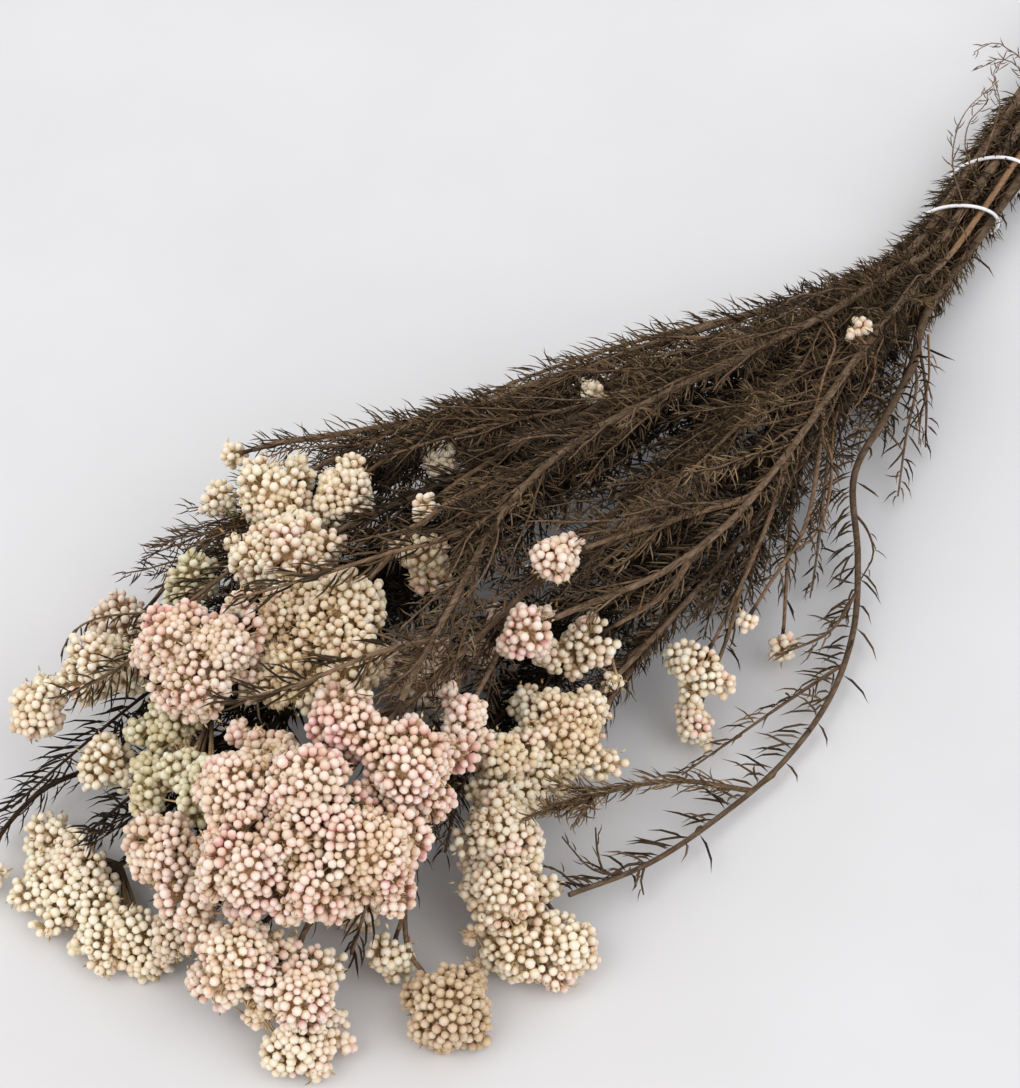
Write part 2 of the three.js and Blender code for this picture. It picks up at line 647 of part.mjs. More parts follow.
// A leafy stem is a tube with two close rings at each node. Between them, two of the faces
// are drawn out into needles, and the rows that they stand in move on from node to node.
function leafyTube(strand, sides, phase) {
  const { points, radius } = strand;
  const last = points.length - 1;
  const corners = [];
  const faces = [];
  let side = null;
  let previous = null;
  const addRing = (centre, tangent, size) => {
    side = side || new THREE.Vector3().crossVectors(tangent, Math.abs(tangent.z) < 0.9 ? UP : along);
    side = side.clone().addScaledVector(tangent, -side.dot(tangent)).normalize();
    const first = corners.length;
    corners.push(...ring(centre, tangent, side, size, sides));
    if (previous !== null) {
      for (let k = 0; k < sides; k += 1) {
        const next = (k + 1) % sides;
        faces.push([previous + k, previous + next, first + next], [previous + k, first + next, first + k]);
      }
    }
    previous = first;
  };
  points.forEach((point, i) => {
    const tangent = points[Math.min(i + 1, last)].clone().sub(points[Math.max(i - 1, 0)]).normalize();
    if (i === 0 || i === last || point.x > NEEDLE_BARE_X) {
      addRing(point, tangent, radius[i]);
      return;
    }
    addRing(point.clone().addScaledVector(tangent, -NEEDLE_BASE / 2), tangent, radius[i]);
    addRing(point.clone().addScaledVector(tangent, NEEDLE_BASE / 2), tangent, radius[i]);
    const band = faces.length - 2 * sides;
    for (const row of [i, i + 2]) {
      const k = (row + phase) % sides;
      const face = band + 2 * k;
      const tip = needleTip(strand, i, tangent, side, (2 * Math.PI * (k + 0.5)) / sides, phase);
      if (tip) {
        const [a, b, c] = faces[face];
        corners.push(tip);
        const t = corners.length - 1;
        faces[face] = [a, b, t];
        faces.push([b, c, t], [c, a, t]);
      }
    }
  });
  for (let k = 1; k < sides - 1; k += 1) faces.push([0, k + 1, k]);
  if (strand.head) {
    for (let k = 1; k < sides - 1; k += 1) faces.push([previous, previous + k, previous + k + 1]);
  } else {
    const onward = points[last].clone().sub(points[last - 1]).setLength(TIP_NEEDLE);
    corners.push(points[last].clone().add(onward));
    for (let k = 0; k < sides; k += 1) {
      faces.push([previous + k, previous + (k + 1) % sides, corners.length - 1]);
    }
  }
  return solid(meshOf(corners, faces));
}

// Where a needle ends, bent clear of what is near, or nothing where it has no room.
function needleTip(strand, order, tangent, side, angle, phase) {
  const other = new THREE.Vector3().crossVectors(tangent, side);
  const outward = side.clone().multiplyScalar(Math.cos(angle)).addScaledVector(other, Math.sin(angle));
  const root = strand.points[order].clone().addScaledVector(outward, strand.radius[order]);
  const length = mix(NEEDLE_LENGTH[0], NEEDLE_LENGTH[1], scatter(order + 31 * phase + angle));
  for (const lean of NEEDLE_LEANS) {
    const tip = root.clone()
      .addScaledVector(tangent, length * Math.cos(radians(lean)))
      .addScaledVector(outward, length * Math.sin(radians(lean)));
    if (tip.z > NEEDLE_RADIUS && isClear(strand, order, root, tip)) {
      barriers.push({ owner: strand, order, start: root, end: tip, radius: NEEDLE_RADIUS });
      return tip;
    }
  }
  return null;
}

function makeLeafyStem(stem) {
  const own = strands.filter((strand) => strand.stem === stem);
  return wasm.Manifold.union(own.map((strand, i) =>
    leafyTube(strand, strand.parent ? BRANCH_SIDES : TRUNK_SIDES, i + 3 * stem)));
}

// The bunch

// What would reach below the surface is pressed flat on it.
function above(piece) {
  const [length, width, depth] = SURFACE_BLOCK;
  return piece.subtract(solid(new THREE.BoxGeometry(length, width, depth).translate(0, 0, -depth / 2)));
}

function mesh(name, piece, colour, roughness) {
  const { vertProperties, triVerts } = piece.getMesh();
  const geometry = new THREE.BufferGeometry();
  geometry.setAttribute("position", new THREE.BufferAttribute(new Float32Array(vertProperties), 3));
  geometry.setIndex(new THREE.BufferAttribute(new Uint32Array(triVerts), 1));
  const material = new THREE.MeshStandardMaterial({
    color: COLOURS[colour], roughness, metalness: 0, flatShading: true });
  const result = new THREE.Mesh(geometry, material);
  result.name = name;
  return result;
}

const bunch = new THREE.Group();
heads.forEach((head, order) => {
  bunch.add(mesh(head.name, above(makeFlowerHead(head, order)), head.colour, 0.8));
});
STEMS.forEach((_, stem) => {
  const name = `leafy_stem_${String(stem + 1).padStart(2, "0")}`;
  bunch.add(mesh(name, above(makeLeafyStem(stem)), "bark", 0.85));
});
ties.forEach((loop, order) => {
  bunch.add(mesh(`tie_${order + 1}`, makeTie(loop), "tie", 0.6));
});

const box = new THREE.Box3().setFromObject(bunch);
const middle = box.getCenter(new THREE.Vector3());
bunch.position.set(-middle.x, -middle.y, -box.min.z);

export default bunch;
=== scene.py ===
"""A tied bunch of preserved diosma, lying on a pale surface.

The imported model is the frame. Each flower head, leafy stem and tie of it is replaced by finer
pieces: small round buds on branching stalks, bark with side twigs, needle leaves and cords.

The tables and the routes are in millimetres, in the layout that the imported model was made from.
place() turns them into the frame's metres, and everything that Blender holds is in metres.
"""

import json
import math
from dataclasses import dataclass

import bpy
import numpy as np
from mathutils import Matrix, Vector

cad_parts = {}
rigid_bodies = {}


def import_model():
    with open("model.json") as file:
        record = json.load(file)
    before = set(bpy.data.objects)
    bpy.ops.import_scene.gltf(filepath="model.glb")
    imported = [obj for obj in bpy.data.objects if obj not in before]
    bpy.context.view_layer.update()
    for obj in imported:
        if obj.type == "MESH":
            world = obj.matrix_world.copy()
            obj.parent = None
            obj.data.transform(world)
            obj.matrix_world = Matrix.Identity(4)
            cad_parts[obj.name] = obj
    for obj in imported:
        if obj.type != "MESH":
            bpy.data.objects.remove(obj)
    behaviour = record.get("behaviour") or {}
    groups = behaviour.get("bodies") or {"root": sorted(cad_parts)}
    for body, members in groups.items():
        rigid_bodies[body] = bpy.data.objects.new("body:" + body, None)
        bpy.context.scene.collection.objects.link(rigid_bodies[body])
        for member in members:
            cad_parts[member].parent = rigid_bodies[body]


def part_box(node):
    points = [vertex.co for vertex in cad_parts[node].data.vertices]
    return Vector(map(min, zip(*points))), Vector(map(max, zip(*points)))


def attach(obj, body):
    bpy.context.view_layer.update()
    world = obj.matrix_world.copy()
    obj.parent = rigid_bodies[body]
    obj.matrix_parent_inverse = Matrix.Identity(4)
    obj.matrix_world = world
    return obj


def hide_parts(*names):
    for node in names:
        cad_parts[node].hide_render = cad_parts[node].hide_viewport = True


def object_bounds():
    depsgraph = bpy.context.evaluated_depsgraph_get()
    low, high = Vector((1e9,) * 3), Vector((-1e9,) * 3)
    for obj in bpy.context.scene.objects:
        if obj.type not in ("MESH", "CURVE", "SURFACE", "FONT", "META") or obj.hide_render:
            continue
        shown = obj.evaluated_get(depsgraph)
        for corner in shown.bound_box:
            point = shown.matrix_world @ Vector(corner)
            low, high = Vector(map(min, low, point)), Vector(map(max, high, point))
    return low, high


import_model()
packed_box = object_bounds()

MM = 0.001
UP = np.array([0.0, 0.0, 1.0])

# The bundle of stems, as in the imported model
BUTT = (318, 44, 10.5)
BUNDLE_TURN = 16.6
BUNDLE_STATIONS = (0, 50, 90, 115, 138)
BUTT_STAGGER = 5
TIE_PLACES = {"tie_1": 126, "tie_2": 100}
TIE_CLEARANCE = 2.0

# The routes of the stems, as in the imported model
TRUNK_RADIUS = (2.3, 1.0)
BRANCH_RADIUS = (1.15, 0.8)
TWIG_RADIUS = (1.0, 0.5)
TRUNK_STEP = 24
BRANCH_STEP = 20
GAP = 0.3
STEM_CLEARANCE = 0.6
LOBE_CLEARANCE = 0.4
STALK_RADIUS = 1.3
COLLAR = 3
NECK_SET = 0.9
NECK_START = 1.5
NECK_STRAIGHT = 6
EASE_ROUNDS = 240
EASE_NEAR = 20
EASE_SMOOTH = 0.25
EASE_FADE = 0.8

# Flower heads: colour, then each lobe as x, y, z and radius over the buds
HEADS = {
    "head_01": ("cream", (-41, 67, 38, 4.5)),
    "head_02": ("cream", (-45, 43, 44, 10.5), (-53, 58, 36, 5.5)),
    "head_03": ("cream", (-32, 32, 45, 9)),
    "head_04": ("cream", (-55, 21, 48, 9.5), (-64, 28, 44, 7)),
    "head_05": ("green", (-74, 44, 32, 7.5)),
    "head_06": ("pink", (-98, 20, 50, 10), (-92, 7, 54, 9.5), (-102, 3, 48, 8.5)),
    "head_07": ("cream", (-62, -6, 56, 10), (-70, -17, 53, 10), (-72, 5, 53, 9), (-80, -6, 50, 7.5)),
    "head_08": ("cream", (-110, 37, 33, 10)),
    "head_09": ("cream", (-128, 41, 27, 8)),
    "head_10": ("green", (-106, 11, 30, 9), (-114, -4, 33, 8), (-125, -1, 29, 6.5)),
    "head_11": ("cream", (-124, 19, 22, 7.5)),
    "head_12": ("pink", (-114, -27, 49, 11.5), (-104, -41, 54, 11.5), (-100, -60, 45, 13),
                (-123, -41, 43, 12), (-115, -55, 42, 10)),
    "head_13": ("pink", (-132, -17, 30, 9), (-135, -31, 24, 7)),
    "head_14": ("cream", (-143, 19, 5, 7.5), (-145, 2, 6.5, 10.5), (-146, -17, 6, 10)),
    "head_15": ("tan", (-141, -29, 13, 6)),
    "head_16": ("cream", (-136, -50, 24, 10), (-129, -64, 18, 9.5), (-134, -70, 6, 8.5)),
    "head_17": ("pink", (-144, -45, 14, 4.5)),
    "head_18": ("pink", (-86, -34, 58, 9.5), (-81, -51, 53, 11)),
    "head_19": ("pink", (-58, -46, 46, 6.5)),
    "head_20": ("cream", (-35, -58, 29, 12), (-53, -55, 33, 8)),
    "head_21": ("cream", (-65, -66, 27, 9.5)),
    "head_22": ("cream", (-74, -78, 18, 11.5), (-77, -86, 9, 10), (-70, -94, 7, 9.5)),
    "head_24": ("tan", (-102, -87, 8, 11)),
    "head_25": ("cream", (-103, -67, 8, 6)),
    "head_26": ("cream", (-13, -44, 34, 7.5), (-24, -41, 36, 5.5)),
    "head_27": ("cream", (10, -60, 20, 6.5), (13, -68, 17, 4)),
    "head_28": ("cream", (3, -68, 8, 6)),
    "head_29": ("cream", (27, -63, 26, 3.5)),
    "head_30": ("cream", (39, -67, 8, 4.5)),
    "head_31": ("pink", (-15, -34, 62, 6.5)),
    "head_32": ("pink", (-31, -39, 50, 7.5)),
    "head_33": ("cream", (-22, 8, 52, 4)),
    "head_34": ("cream", (-30, 0, 43, 7.5)),
    "head_35": ("cream", (-3, 24, 40, 6)),
    "head_36": ("cream", (39, 9, 50, 4)),
    "head_37": ("cream", (118, -20, 43, 3.5)),
    "head_38": ("cream", (-161, 22, 6, 5)),
    "back_head_1": ("cream", (-40, 58, 11, 11.5)),
    "back_head_2": ("tan", (-88, 58, 9, 11.5)),
    "back_head_3": ("cream", (-70, 22, 14, 12)),
    "back_head_4": ("pink", (-45, -14, 22, 11)),
    "back_head_5": ("tan", (-98, -48, 9, 10)),
}

# Smaller clusters between the lobes, which only this script has: x, y, z and radius
FILL_LOBES = {
    "head_02": [(-34, 46, 44, 5), (-43, 51, 46, 5), (-47, 31, 46, 5.5)],
    "head_03": [(-25, 33, 46, 5.5), (-37, 30, 44, 6), (-29, 26, 42, 4.5)],
    "head_04": [(-54, 9, 47, 4.5), (-62, 38, 42, 4), (-55, 31, 46, 6), (-47, 18, 46, 4.5)],
    "head_05": [(-79, 44, 30, 4), (-68, 43, 34, 3.5)],
    "head_06": [(-78, 19, 47, 5), (-103, 24, 46, 5.5), (-90, 1, 48, 4.5), (-92, 20, 52, 5.5),
        (-105, 11, 46, 5.5)],
    "head_07": [(-80, -15, 46, 5.5), (-80, 6, 47, 4.5), (-60, -19, 48, 3.5), (-53, -8, 53, 4),
        (-85, 0, 44, 5.5), (-72, -7, 56, 6), (-91, 0, 42, 4), (-89, -7, 45, 5), (-84, -11, 48, 5)],
    "head_08": [(-111, 38, 34, 4.5), (-118, 37, 30, 5), (-103, 39, 34, 4.5), (-106, 31, 30, 4)],
    "head_09": [(-123, 42, 30, 4.5), (-121, 40, 27, 4), (-133, 41, 25, 3.5), (-122, 45, 28, 4)],
    "head_10": [(-119, 8, 28, 5.5), (-112, -12, 40, 5), (-104, 17, 33, 5.5), (-120, -13, 34, 5.5),
        (-115, 17, 28, 4.5)],
    "head_11": [(-129, 19, 22, 4), (-123, 11, 22, 4), (-119, 22, 24, 4)],
    "head_12": [(-100, -25, 49, 6), (-106, -54, 52, 6.5), (-113, -48, 51, 7), (-103, -70, 38, 5),
        (-98, -47, 50, 5.5), (-124, -31, 46, 5.5), (-123, -55, 36, 5), (-112, -62, 36, 5.5),
        (-130, -36, 38, 6), (-91, -60, 44, 5.5), (-108, -29, 53, 6), (-101, -11, 43, 4.5),
        (-101, -18, 47, 5.5), (-96, -24, 47, 5)],
    "head_13": [(-134, -24, 25, 6.5), (-137, -17, 24, 5), (-129, -42, 28, 5.5), (-130, -9, 28, 5),
        (-127, -23, 32, 5.5)],
    "head_14": [(-150, 6, 8, 5.5), (-150, -9, 7, 5.5), (-149, -24, 4.5, 5), (-157, 10, 4.5, 4.5),
        (-158, 0, 4.5, 4.5), (-157, -10, 4.5, 4.5), (-150, 14, 5, 5.5), (-152, 0, 4.5, 5.5),
        (-153, -17, 4.5, 5.5), (-145, -26, 4.5, 5), (-141, 10, 9, 5.5), (-146, -7, 9, 6)],
    "head_15": [(-136, -29, 15, 4), (-144, -29, 8, 3.5)],
    "head_16": [(-136, -37, 20, 5.5), (-125, -54, 22, 5.5), (-124, -70, 8, 4.5), (-138, -59, 12, 5),
        (-126, -76, 5, 3.5), (-140, -52, 18, 5.5), (-120, -61, 16, 5), (-141, -68, 5, 4.5),
        (-135, -77, 4, 3.5), (-130, -47, 26, 5.5)],
    "head_17": [(-141, -49, 9, 3.5), (-143, -41, 14, 3)],
    "head_18": [(-69, -53, 48, 5.5), (-91, -49, 48, 5.5), (-79, -59, 44, 5), (-84, -43, 58, 6.5),
        (-92, -34, 52, 4.5), (-73, -44, 54, 5)],
    "head_19": [(-57, -51, 40, 3.5), (-56, -38, 47, 3.5), (-64, -49, 44, 4)],
    "head_20": [(-32, -68, 24, 5), (-23, -56, 30, 5), (-36, -44, 30, 5), (-46, -61, 27, 6),
        (-56, -49, 28, 4), (-46, -55, 32, 5), (-43, -65, 22, 5)],
    "head_21": [(-57, -58, 28, 5), (-52, -63, 26, 5), (-70, -63, 24, 5), (-61, -74, 22, 4.5),
        (-55, -65, 26, 4), (-62, -55, 27, 3.5), (-64, -72, 27, 5)],
    "head_22": [(-68, -71, 24, 5), (-73, -65, 19, 4.5), (-61, -75, 20, 4.5), (-85, -76, 9, 4),
        (-63, -81, 14, 4.5), (-65, -99, 4.5, 4), (-87, -82, 4.5, 4), (-76, -95, 4.5, 4.5),
        (-72, -66, 18, 4.5), (-70, -88, 11, 5)],
    "head_24": [(-93, -87, 8, 4.5), (-103, -78, 8, 4.5), (-109, -87, 5, 4.5), (-99, -96, 5, 4),
        (-108, -93, 4.5, 4.5)],
    "head_25": [(-102, -62, 9, 3), (-102, -70, 6, 3)],
    "head_26": [(-14, -54, 28, 3.5), (-20, -46, 30, 3.5)],
    "head_27": [(8, -56, 22, 3), (12, -64, 18.5, 4.2), (6, -64, 14, 4)],
    "head_28": [(2, -74, 6, 3), (4, -63, 9, 3)],
    "head_31": [(-9, -34, 62, 3), (-19, -33, 61, 3.5)],
    "head_32": [(-23, -37, 48, 4), (-37, -39, 47, 4), (-30, -43, 46, 3.5)],
    "head_33": [(-24, 8, 50, 2.5)],
    "head_34": [(-32, 8, 44, 4), (-29, -6, 41, 3.5), (-34, -4, 40, 4)],
    "head_35": [(-3, 18, 39, 2.5)],
    "head_37": [(113, -20, 42, 2.2)],
    "back_head_4": [(-27, -25, 40, 4.5), (-35, -26, 34, 5)],
}

# Leafy stems: the lane in the bundle, the path of the trunk, the head that it carries, and the
# branches, each as the trunk's x where it forks off, its path and its head
STEMS = [
    ((5.4, 4.8), [(164, 4, 20), (137, 2, 30), (103, 11, 34), (70, 21, 36), (41, 29, 38), (12, 37, 40),
        (-9, 45, 42), (-24, 56, 42)], "head_01", [
        (12, [(-15, 42, 44)], "head_02"),
        (35, [(0, 33, 45)], "head_03"),
        (60, [(25, 25, 41)], "head_35"),
        (105, [(70, 30, 30), (45, 40, 28), (22, 47, 26)], None),
    ]),
    ((8.1, 0), [(164, 8, 12), (130, 6, 16), (90, 14, 20), (50, 26, 24), (10, 36, 28), (-25, 42, 28),
        (-52, 44, 28)], "head_05", [
        (30, [(0, 48, 18)], "back_head_1"),
        (-5, [(-30, 52, 26), (-60, 60, 22)], "back_head_2"),
        (-25, [(-60, 37, 22), (-90, 38, 26)], "head_08"),
        (-28, [(-60, 51, 20), (-85, 46, 20), (-105, 46, 21)], "head_09"),
        (-42, [(-62, 34, 40), (-80, 33, 40), (-98, 30, 39), (-112, 26, 42), (-124, 30, 40)], None),
        (-15, [(-45, 34, 16), (-70, 38, 14), (-95, 33, 17), (-118, 30, 19), (-148, 28, 16)], None),
        (90, [(60, 28, 14), (30, 41, 12), (5, 48, 10)], None),
    ]),
    ((0, 4.8), [(164, 1, 22), (147, -3, 30), (112, -9, 42), (87, -9, 48), (62, -9, 53), (25, -8, 60),
        (2, -11, 64), (-15, -15, 66), (-28, -21, 67), (-38, -26, 66), (-48, -29, 64),
        (-59, -33, 63)], "head_18", [
        (55, [(18, -3, 54), (-5, -1, 56), (-16, 1, 57), (-36, 0, 58)], "head_07"),
        (-22, [(-37, -14, 68), (-46, -10, 69), (-67, -2, 69), (-78, 4, 68), (-85, 8, 66)], None),
        (-50, [(-71, -31, 69), (-82, -26, 69), (-97, -22, 67), (-108, -14, 65)], None),
    ]),
    ((2.7, 0), [(164, 4, 17), (145, 0, 24), (120, 0, 32), (90, 3, 38), (60, 6, 43), (30, 9, 46),
        (5, 12, 47), (-15, 15, 47), (-32, 18, 48)], "head_04", [
        (75, [(56, 7, 48)], "head_36"),
        (15, [(-5, 8, 53)], "head_33"),
        (10, [(-10, 5, 43)], "head_34"),
        (-5, [(-32, 13, 39), (-60, 11, 37), (-80, 12, 41)], "head_06"),
        (100, [(75, 13, 44), (52, 19, 46), (30, 23, 47)], None),
        (40, [(15, 18, 51), (-3, 24, 52), (-16, 28, 53)], None),
    ]),
    ((-2.7, 0), [(164, 0, 14), (130, -8, 24), (95, -14, 34), (60, -18, 40), (25, -22, 44),
        (-10, -26, 46), (-45, -30, 44), (-75, -34, 44)], "head_12", [
        (-22, [(-38, -35, 40)], "head_19"),
        (62, [(35, -28, 48), (12, -35, 50), (-8, -36, 49)], None),
        (95, [(65, -24, 46), (40, -30, 51), (18, -34, 56)], None),
    ]),
    ((5.4, -4.8), [(164, 4, 9), (130, 0, 12), (95, 4, 16), (60, 8, 21), (25, 9, 24), (-10, 9, 26),
        (-45, 7, 28), (-80, 4, 26), (-108, 2, 18)], "head_14", [
        (-55, [(-80, 12, 31)], "head_10"),
        (-32, [(-55, 18, 31), (-88, 27, 25), (-104, 25, 22)], "head_11"),
        (-68, [(-95, -8, 26), (-112, -14, 27)], "head_13"),
        (0, [(-30, 17, 18)], "back_head_3"),
        (-92, [(-112, 20, 12), (-130, 31, 9), (-149, 32, 6)], "head_38"),
        (-98, [(-118, 8, 21), (-128, 6, 21), (-139, 7, 20)], None),
    ]),
    ((0, -4.8), [(164, 0, 7), (130, -8, 9), (95, -14, 11), (60, -20, 13), (25, -25, 15), (-10, -32, 16),
        (-45, -38, 18), (-80, -44, 24), (-100, -48, 25), (-114, -51, 20)], "head_16", [
        (-82, [(-110, -35, 24), (-125, -31, 18)], "head_15"),
        (-85, [(-115, -41, 15), (-130, -41, 12)], "head_17"),
        (-55, [(-74, -47, 20), (-92, -52, 13), (-98, -62, 10)], "head_24"),
        (-72, [(-90, -60, 16)], "head_25"),
        (20, [(-10, -22, 18)], "back_head_4"),
        (-45, [(-74, -45, 11)], "back_head_5"),
        (-92, [(-100, -57, 24), (-107, -60, 18), (-111, -62, 12)], None),
        (-55, [(-66, -50, 18), (-73, -54, 9)], None),
    ]),
    ((-5.4, -4.8), [(164, -6, 7), (130, -16, 11), (95, -26, 15), (60, -36, 19), (30, -44, 22),
        (8, -49, 25), (-5, -52, 26)], "head_20", [
        (20, [(11, -47, 18), (-1, -48, 15), (-15, -51, 12), (-28, -55, 11), (-43, -59, 13)], "head_21"),
        (42, [(16, -40, 9), (-5, -46, 8), (-26, -52, 8), (-47, -59, 9)], "head_22"),
        (55, [(25, -58, 11)], "head_28"),
        (78, [(56, -52, 12)], "head_30"),
        (150, [(138, -28, 12), (121, -39, 7), (106, -50, 4)], None),
        (95, [(78, -45, 9), (62, -57, 4)], None),
    ]),
    ((-5.4, 4.8), [(164, -6, 20), (140, -14, 30), (113, -25, 40), (79, -37, 48), (65, -43, 52),
        (46, -48, 54), (31, -52, 56), (8, -53, 56), (-6, -48, 54)], "head_32", [
        (30, [(12, -44, 62)], "head_31"),
        (22, [(5, -52, 44)], "head_26"),
        (66, [(48, -50, 40), (27, -57, 26)], "head_27"),
        (76, [(55, -57, 38)], "head_29"),
        (135, [], "head_37"),
    ]),
    ((-8.1, 0), [(164, -10, 12), (129, -30, 16), (107, -37, 18), (93, -43, 16), (82, -55, 10),
        (66, -70, 6), (45, -83, 5), (22, -90, 4), (6, -92, 4), (-19, -92, 5), (-36, -91, 7),
        (-51, -88, 10), (-60, -86, 12)], None, [
        (8, [(-11, -84, 12), (-33, -77, 22), (-49, -75, 31), (-57, -76, 36)], None),
        (46, [(29, -80, 7), (15, -79, 7), (-4, -77, 5), (-9, -76, 4)], None),
        (60, [(46, -74, 12), (38, -72, 14), (31, -71, 15)], None),
        (150, [(137, -33, 9), (126, -43, 4)], None),
    ]),
]

# Buds, and the clusters that they sit in
BUD_RADIUS = 1.24
BUD_SPACING = 2.12
BUD_UNEVEN = 0.11
BUD_COVER = 142
BLEND = 1.3
CLUSTER_SPACING = 6.2
CLUSTER_DEPTH = 1.4
CLUSTER_RISE = 0.65
SWELL = 1.3
SWELL_PACE = 0.34
LAYER = 1.75
SMALL_LOBE, LARGE_LOBE = 2.5, 8.5
SEED_AREA = 0.4
LEAST_SEEDS = 18
PUSH_ROUNDS = 8
OUTER_LAYER_GAP = 0.76
INNER_LAYER_GAP = 0.88
HUB_DEPTH = 4.8

# How much more tinted the buds of some heads are, and how much browner and darker they are painted: partly
# their age and partly painted shade, with values below zero painting a head lighter, as painted light
BLUSH = {"head_14": -0.3, "head_07": 0.1, "head_16": 0.28, "head_22": 0.12, "head_20": 0.0,
         "head_26": 0.2, "head_27": 0.1, "head_28": 0.1, "head_02": -0.1, "head_04": 0.1,
         "head_12": 0.04, "head_18": 0.12}
AGE_AND_SHADE = {"head_14": -0.3, "head_16": -0.2, "head_02": -0.05, "head_07": 0.5, "head_10": 0.25,
        "head_24": 0.75, "head_20": 0.35, "head_18": 0.2, "head_12": 0.2, "head_34": 0.5, "head_26": 0.1,
        "head_05": 0.2, "head_13": 0.15}

# Stalks under the buds
STALK_THICKNESS = (0.7, 0.4)
PEDICEL_THICKNESS = 0.26
CORE_DEPTH = 4.2

# Bark and twigs, by radius
BARK_RADIUS = (1.8, 1.4, 0.8)
MOUTH_X = 172
BRANCH_BARK = (0.95, 0.6)
TIP_BARK = (0.75, 0.35)
TWIG_BARK = (0.48, 0.22)
STRAY_BARK = (0.48, 0.26)
LINE_STEP = 3.0
TWIG_EVERY = 6.4
LOW_TWIG_EVERY = 3.8
TIED_TWIG_EVERY = 4.5
LOW_BY = 14
FAR_STEMS = (0, 1)
TWIG_LENGTH = (30, 66)
TWIGS_TO = -58

# The leafy spray keeps between these two edges: x and y
NEAR_EDGE = ((-30, -56), (5, -50), (30, -56), (57, -51), (73, -46), (93, -38), (114, -33), (137, -27),
             (157, -14), (173, -8), (192, -3), (213, 2), (320, 30))
FAR_EDGE = ((-90, 60), (-25, 70), (9, 50), (34, 43), (57, 35), (84, 29), (118, 21), (150, 9), (177, 18),
            (196, 21), (234, 31), (320, 58))
# Its far outline as the open side shows it, carried to one height: x and y
SEEN_EDGE_HEIGHT = 30
SEEN_EDGE = ((-90, 80), (-30, 73), (-18, 63), (-8, 54), (8, 50), (23, 45), (37, 39), (54, 32), (77, 26),
             (93, 18), (105, 13), (116, 9), (134, 6), (147, 5), (160, 7), (174, 11), (194, 13), (209, 17),
             (221, 19), (234, 23), (320, 50))
# How high its upper side reaches in the middle: x and z
CROWN = ((-70, 58), (-28, 66), (25, 60), (87, 48), (137, 33), (172, 24), (320, 20))
# Half the width and height of the tied bundle
TIED_OUTLINE = (10.0, 7.2)

# The flower heads lie open to this side, and so does the bare stem in the bundle
OPEN_SIDE = (-0.44, -0.47, 0.765)
BARE_STEM = 8
BARE_FROM = 182

# Needles
NEEDLE_SPACING = 0.88
NEEDLE_LENGTH = (5.5, 9)
TWIG_NEEDLE_LENGTH = (4.5, 8.3)
NEEDLE_THICKNESS = 0.225
NEEDLE_LEAN = 57
LEAFY_FROM = 60
LOW_HEAD = 13
LOW_HEAD_BARE = 26
BARE_NECKS = (-120, -20)
ARCHED_STEM = 9
ARCHED_LEAN = 72
THIN_BRANCHES = {(7, 1), (7, 2), (7, 3), (7, 4), (7, 5), (8, 2), (8, 3), (9, 1), (9, 2), (9, 3)}
THIN_BRANCH_GIRTH = 0.78
BRUSH_BRANCH = (9, 0)
HANGING_BRANCH = (1, 4)
BRUSH_TWIGS = 9
TIED_STRAY_GIRTH = 0.62

# Needles by where they grow: spacing, lengths, tint, share on the right, girth, lean and droop
STEM_NEEDLES = (NEEDLE_SPACING, NEEDLE_LENGTH, 0.56, 0.5, 1.1, NEEDLE_LEAN)
BUNDLED_NEEDLES = (0.8, (4, 7.5), 0.36, 0.5, 1.2)
ARCHED_NEEDLES = (1.75, (8, 11.5), 0.42, 0.85, 1.85, ARCHED_LEAN)
THIN_BRANCH_NEEDLES = (1.7, (5, 8.5), 0.46, 0.6, 1.55, NEEDLE_LEAN)
LEFT_TIP_NEEDLES = (1.1, (8.5, 11.5), 0.36, 0.56, 1.75, 50)
LEFT_TIPS_FROM = -80
# The needles on low twigs, deep under the crown, have a darker tint: painted shade.
LOW_TWIG_NEEDLES = (0.9, (6, 10), 0.38, 0.5, 1.9)
BRUSH_NEEDLES = (0.5, (6, 9), 0.7, 0.5, 1.15, 24)
BRUSH_TWIG_NEEDLES = (0.7, (5, 8), 0.75, 0.5, 1.1, 24)
HANGING_NEEDLES = (0.55, (8, 12), 0.42, 0.5, 1.4, 58, 0.3)
HANGING_TWIG_NEEDLES = (0.8, (6, 11), 0.32, 0.5, 1.3, 60, 1.2)
ARCHED_SHADE = 0.38
LOWEST_TIP = 3.2
LOW_TWIGS_TO = -104

